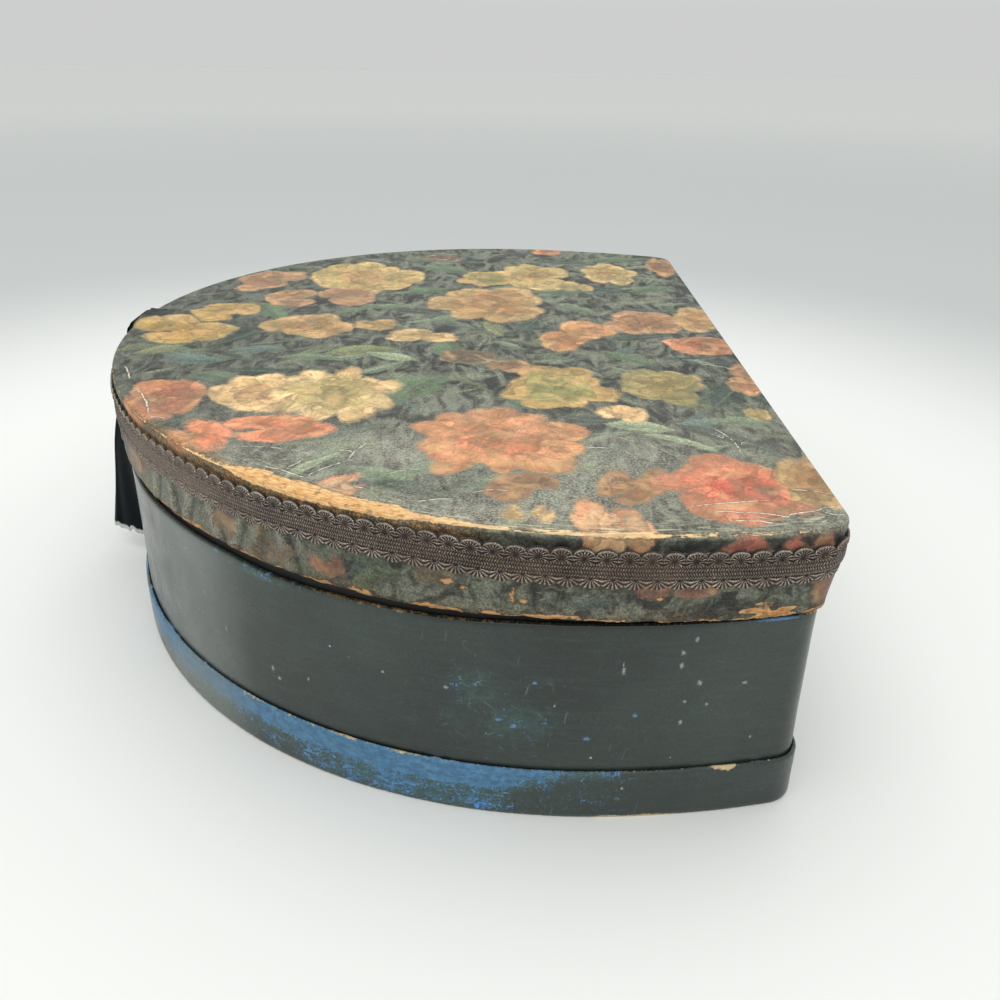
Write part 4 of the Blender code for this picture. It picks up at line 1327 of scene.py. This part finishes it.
def make_wall():
    """The painted hoop of the body, a little out of true, with rubbed patches and a worn upper edge."""
    round_edge = 0.0006
    profile = line((0.0, 0.0), (0.0, BODY_HEIGHT - round_edge), 48)
    profile += rounded_edge(0.0, BODY_HEIGHT, round_edge)
    profile += [(-0.001, BODY_HEIGHT), (-WALL_THICKNESS, BODY_HEIGHT)]
    profile += line((-WALL_THICKNESS, 0.05), (-WALL_THICKNESS, 0.0), 3) + [(-WALL_THICKNESS, 0.0)]
    s, offset, height, faces = hoop(PAINTED_COLUMNS, profile)
    outer = offset > -0.0007
    mm_s, mm_h = s * 1000, height * 1000
    waves = 0.0007 * (rough_noise(mm_s / 70, mm_h / 60, 41) - 0.5) * between(mm_h, 18, 30, 60, 71)
    offset = offset + outer * (waves - 0.00012 * noise(mm_s / 6, mm_h / 9, 43) * smooth(68.5, 70, mm_h))
    blue = np.zeros(len(s))
    for s0, h0, reach_s, reach_h, strength in RUBBED:
        far = ((mm_s - s0) / reach_s) ** 2 + ((mm_h - h0) / reach_h) ** 2
        blue = np.maximum(blue, strength * np.exp(-far))
    top = BODY_HEIGHT * 1000 - mm_h
    sunk = 0.0010 * between(mm_s, 520, 550, 600, 632) * smooth(9, 0, top)
    height = height - np.where(mm_h > 40, sunk, 0)
    # Painted shadow where the wall meets the foot band, and under the lid's edge at the front.
    painted_shadow = smooth(20.5, 18.2, mm_h) * (0.4 + 0.6 * smooth(660, 620, mm_s))
    painted_shadow = np.maximum(painted_shadow, 0.8 * smooth(3.0, 0.5, top) * between(mm_s, 590, 605, 670, 690))
    ledge = table_of(TAN_LEDGE, s) * (3.0 * rough_noise(mm_s / 5, 0, 45) - 0.5) - top
    values = {"blue": blue, "bare": np.where(outer | (mm_h > 70), ledge, -2.0),
              "painted_shadow": 0.55 * painted_shadow * outer, "along": flat_map(s, height)}
    points = body_place(*on_plan(s, offset).T, height)
    tans = (150, 106, 56), (214, 180, 128)
    finish = paint_finish("green_paint", (35, 43, 40), (52, 63, 58), 0.74, 1.15, *tans)
    return add_piece("painted_wall", "body_wall", finish, points, faces.tolist(), values)


make_wall()

# Strength of the blue along the foot band, and the width of its bare upper and lower edges.
BAND_BLUE = [
    (0, 0.3), (100, 0.6), (200, 0.3), (330, 0.5), (440, 0.55), (500, 0.5), (545, 0.5), (570, 0.68),
    (600, 0.72), (620, 0.6), (628, 0.38), (657, 0.22), (665, 0.05), (720, 0.0), (780, 0.3), (900, 0.6),
    (1000, 0.3), (1046, 0.3),
]
BAND_TOP = [
    (0, 0.0), (515, 0.1), (524, 0.36), (545, 0.3), (570, 0.34), (600, 0.3), (612, 0.1), (684, 0.0),
    (687, 0.9), (691, 1.3), (694, 0.0), (1046, 0.1),
]
BAND_FOOT = [
    (0, 0.4), (450, 0.3), (620, 0.2), (648, 0.3), (652, 1.0), (672, 1.0), (678, 0.3), (1046, 0.4),
]


def make_band():
    """The strip round the foot, where blue shows through the dark paint."""
    outer_face = 0.0015
    profile = line((outer_face - 0.0004, 0.0), (outer_face, 0.0009), 1)
    profile += line((outer_face, 0.0009), (outer_face, FOOT_BAND_HEIGHT - 0.0009), 14)
    profile += rounded_edge(outer_face, FOOT_BAND_HEIGHT, 0.0009)
    profile += [(0.0003, FOOT_BAND_HEIGHT - 0.0003), (0.0003, 0.009), (0.0003, 0.0)]
    s, offset, height, faces = hoop(PAINTED_COLUMNS, profile)
    outer = offset > 0.0004
    mm_s, mm_h = s * 1000, height * 1000
    offset = offset + outer * 0.0003 * (rough_noise(mm_s / 30, mm_h / 12, 51) - 0.5)
    chipped = smooth(16.6, 17.6, mm_h) * smooth(0.62, 0.8, rough_noise(mm_s / 5, 0, 52))
    offset = offset - outer * 0.0005 * chipped
    strength = table_of(BAND_BLUE, s)
    upper = smooth(8.5, 13.0, mm_h)
    blue = strength + upper * (0.5 * between(mm_s, 420, 470, 612, 640) + 0.35 * strength)
    blue = blue + 0.35 * np.exp(-((17.0 - mm_h) / 1.6) ** 2) * between(mm_s, 600, 620, 640, 672)
    blue = blue - 0.3 * smooth(7, 0, mm_h) * smooth(560, 540, mm_s) - 0.2 * smooth(3, 0, mm_h)
    bare_top = table_of(BAND_TOP, s) * (-0.6 + 3.0 * rough_noise(mm_s / 4, 0, 54))
    bare_top = bare_top - (FOOT_BAND_HEIGHT * 1000 - mm_h)
    bare_foot = table_of(BAND_FOOT, s) * (0.4 + 1.1 * rough_noise(mm_s / 4, 0, 55)) - mm_h
    values = {"blue": blue, "bare": np.where(outer, np.maximum(bare_top, bare_foot), -2.0),
              "painted_shadow": np.zeros(len(s)), "along": flat_map(s, height + 0.2)}
    points = body_place(*on_plan(s, offset).T, height)
    tans = (168, 140, 92), (226, 208, 166)
    finish = paint_finish("worn_band_paint", (42, 52, 49), (54, 64, 59), 0.52, 1.0, *tans)
    return add_piece("painted_band", "foot_band", finish, points, faces.tolist(), values)


make_band()


def neck_finish():
    """Near-black on the neck band that shows in the gap under the lid: dark paint with painted shade for the
    gap.
    """
    f = Finish("dark_neck_paint")
    here = f.where()
    colour = f.mix(f.step(f.noise(here, 90, 4), 0.35, 0.7), rgba(14, 15, 15), rgba(28, 31, 30))
    colour = f.over(colour, f.step(f.noise(here, 600, 4, 0.7), 0.62, 0.74, (0.0, 0.6)), 70, 62, 46)
    return f.done(colour, 0.7, f.bump(f.noise(here, 1200, 3), 0.00005, 0.5))


def board_finish():
    """Grey-brown pasteboard with fibres and foxing."""
    f = Finish("bare_board")
    here = f.where()
    fibres = f.noise(f.where(scale=(1.0, 0.35, 1.0)), 900, 4, 0.65)
    colour = f.mix(f.step(fibres, 0.3, 0.7), rgba(134, 108, 78), rgba(172, 146, 108))
    colour = f.over(colour, f.step(f.noise(here, 30, 4), 0.5, 0.75, (0.0, 0.6)), 104, 82, 58)
    colour = f.over(colour, f.step(f.noise(here, 260, 3), 0.66, 0.72, (0.0, 0.5)), 72, 54, 38)
    return f.done(colour, 0.85, f.bump(fibres, 0.0001, 0.6))


for node, finish in (("neck_band", neck_finish()), ("floor_panel", board_finish())):
    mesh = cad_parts[node].data
    mesh.materials.clear()
    mesh.materials.append(finish)

# Floor, light and camera


def floor_finish():
    """A pale floor, with painted shade that makes it darker away from the object."""
    f = Finish("pale_floor")
    here = f.where()
    far = f.length(here)
    # Painted shade: darker away from the object, a little lighter again far off.
    shade = f.step(far, 0.24, 0.66)
    shade = shade + (f.noise(here, 6, 2) - 0.5) * 0.05
    colour = f.mix(shade, rgba(238, 239, 236), rgba(190, 193, 192))
    colour = f.over(colour, f.step(far, 0.8, 3.0), 212, 214, 212)
    return f.done(colour, 0.6, f.bump(f.noise(here, 300, 2), 0.00002, 0.2), Specular_IOR_Level=0.2)


floor_mesh = bpy.data.meshes.new("floor")
floor_mesh.from_pydata([(-6, -6, 0), (6, -6, 0), (6, 6, 0), (-6, 6, 0)], [], [(0, 1, 2, 3)])
floor_mesh.materials.append(floor_finish())
floor = bpy.data.objects.new("floor", floor_mesh)
bpy.context.scene.collection.objects.link(floor)


def area_light(name, place, power):
    """A wide round light aimed at the middle of the scene."""
    data = bpy.data.lights.new(name, "AREA")
    data.shape = "DISK"
    data.size = 1.6
    data.energy = power
    light = bpy.data.objects.new(name, data)
    bpy.context.scene.collection.objects.link(light)
    light.location = place
    light.rotation_euler = (-Vector(place)).to_track_quat("-Z", "Y").to_euler()


area_light("overhead", (-0.15, 0.0, 1.5), 7)
area_light("front fill", (0.1, -1.5, 1.0), 3.3)

# A pale sky, brighter from the horizon up.
world = bpy.data.worlds.new("studio")
world.use_nodes = True
sky = world.node_tree
direction = sky.nodes.new("ShaderNodeTexCoord")
parts = sky.nodes.new("ShaderNodeSeparateXYZ")
sky.links.new(direction.outputs["Generated"], parts.inputs[0])
glow = sky.nodes.new("ShaderNodeMapRange")
for name, value in (("From Min", 0.02), ("From Max", 0.45), ("To Min", 0.62), ("To Max", 0.92)):
    glow.inputs[name].default_value = value
sky.links.new(parts.outputs["Z"], glow.inputs["Value"])
sky.links.new(glow.outputs[0], sky.nodes["Background"].inputs["Strength"])
sky.nodes["Background"].inputs["Color"].default_value = (0.985, 1.0, 0.99, 1)
bpy.context.scene.world = world
bpy.context.scene.view_settings.view_transform = "Standard"

# The photograph's view: place in metres, degrees about x, y and z, and lens in millimetres.
CAMERA_PLACE = (0.04041, -0.40229, 0.21938)
CAMERA_LENS = 34.038
CAMERA_TURN = (63.6749, -0.8269, 0.3858)
camera_data = bpy.data.cameras.new("camera")
camera_data.sensor_width = 36
camera_data.lens = CAMERA_LENS
camera = bpy.data.objects.new("camera", camera_data)
bpy.context.scene.collection.objects.link(camera)
camera.location = CAMERA_PLACE
camera.rotation_euler = [math.radians(turn) for turn in CAMERA_TURN]
bpy.context.scene.camera = camera
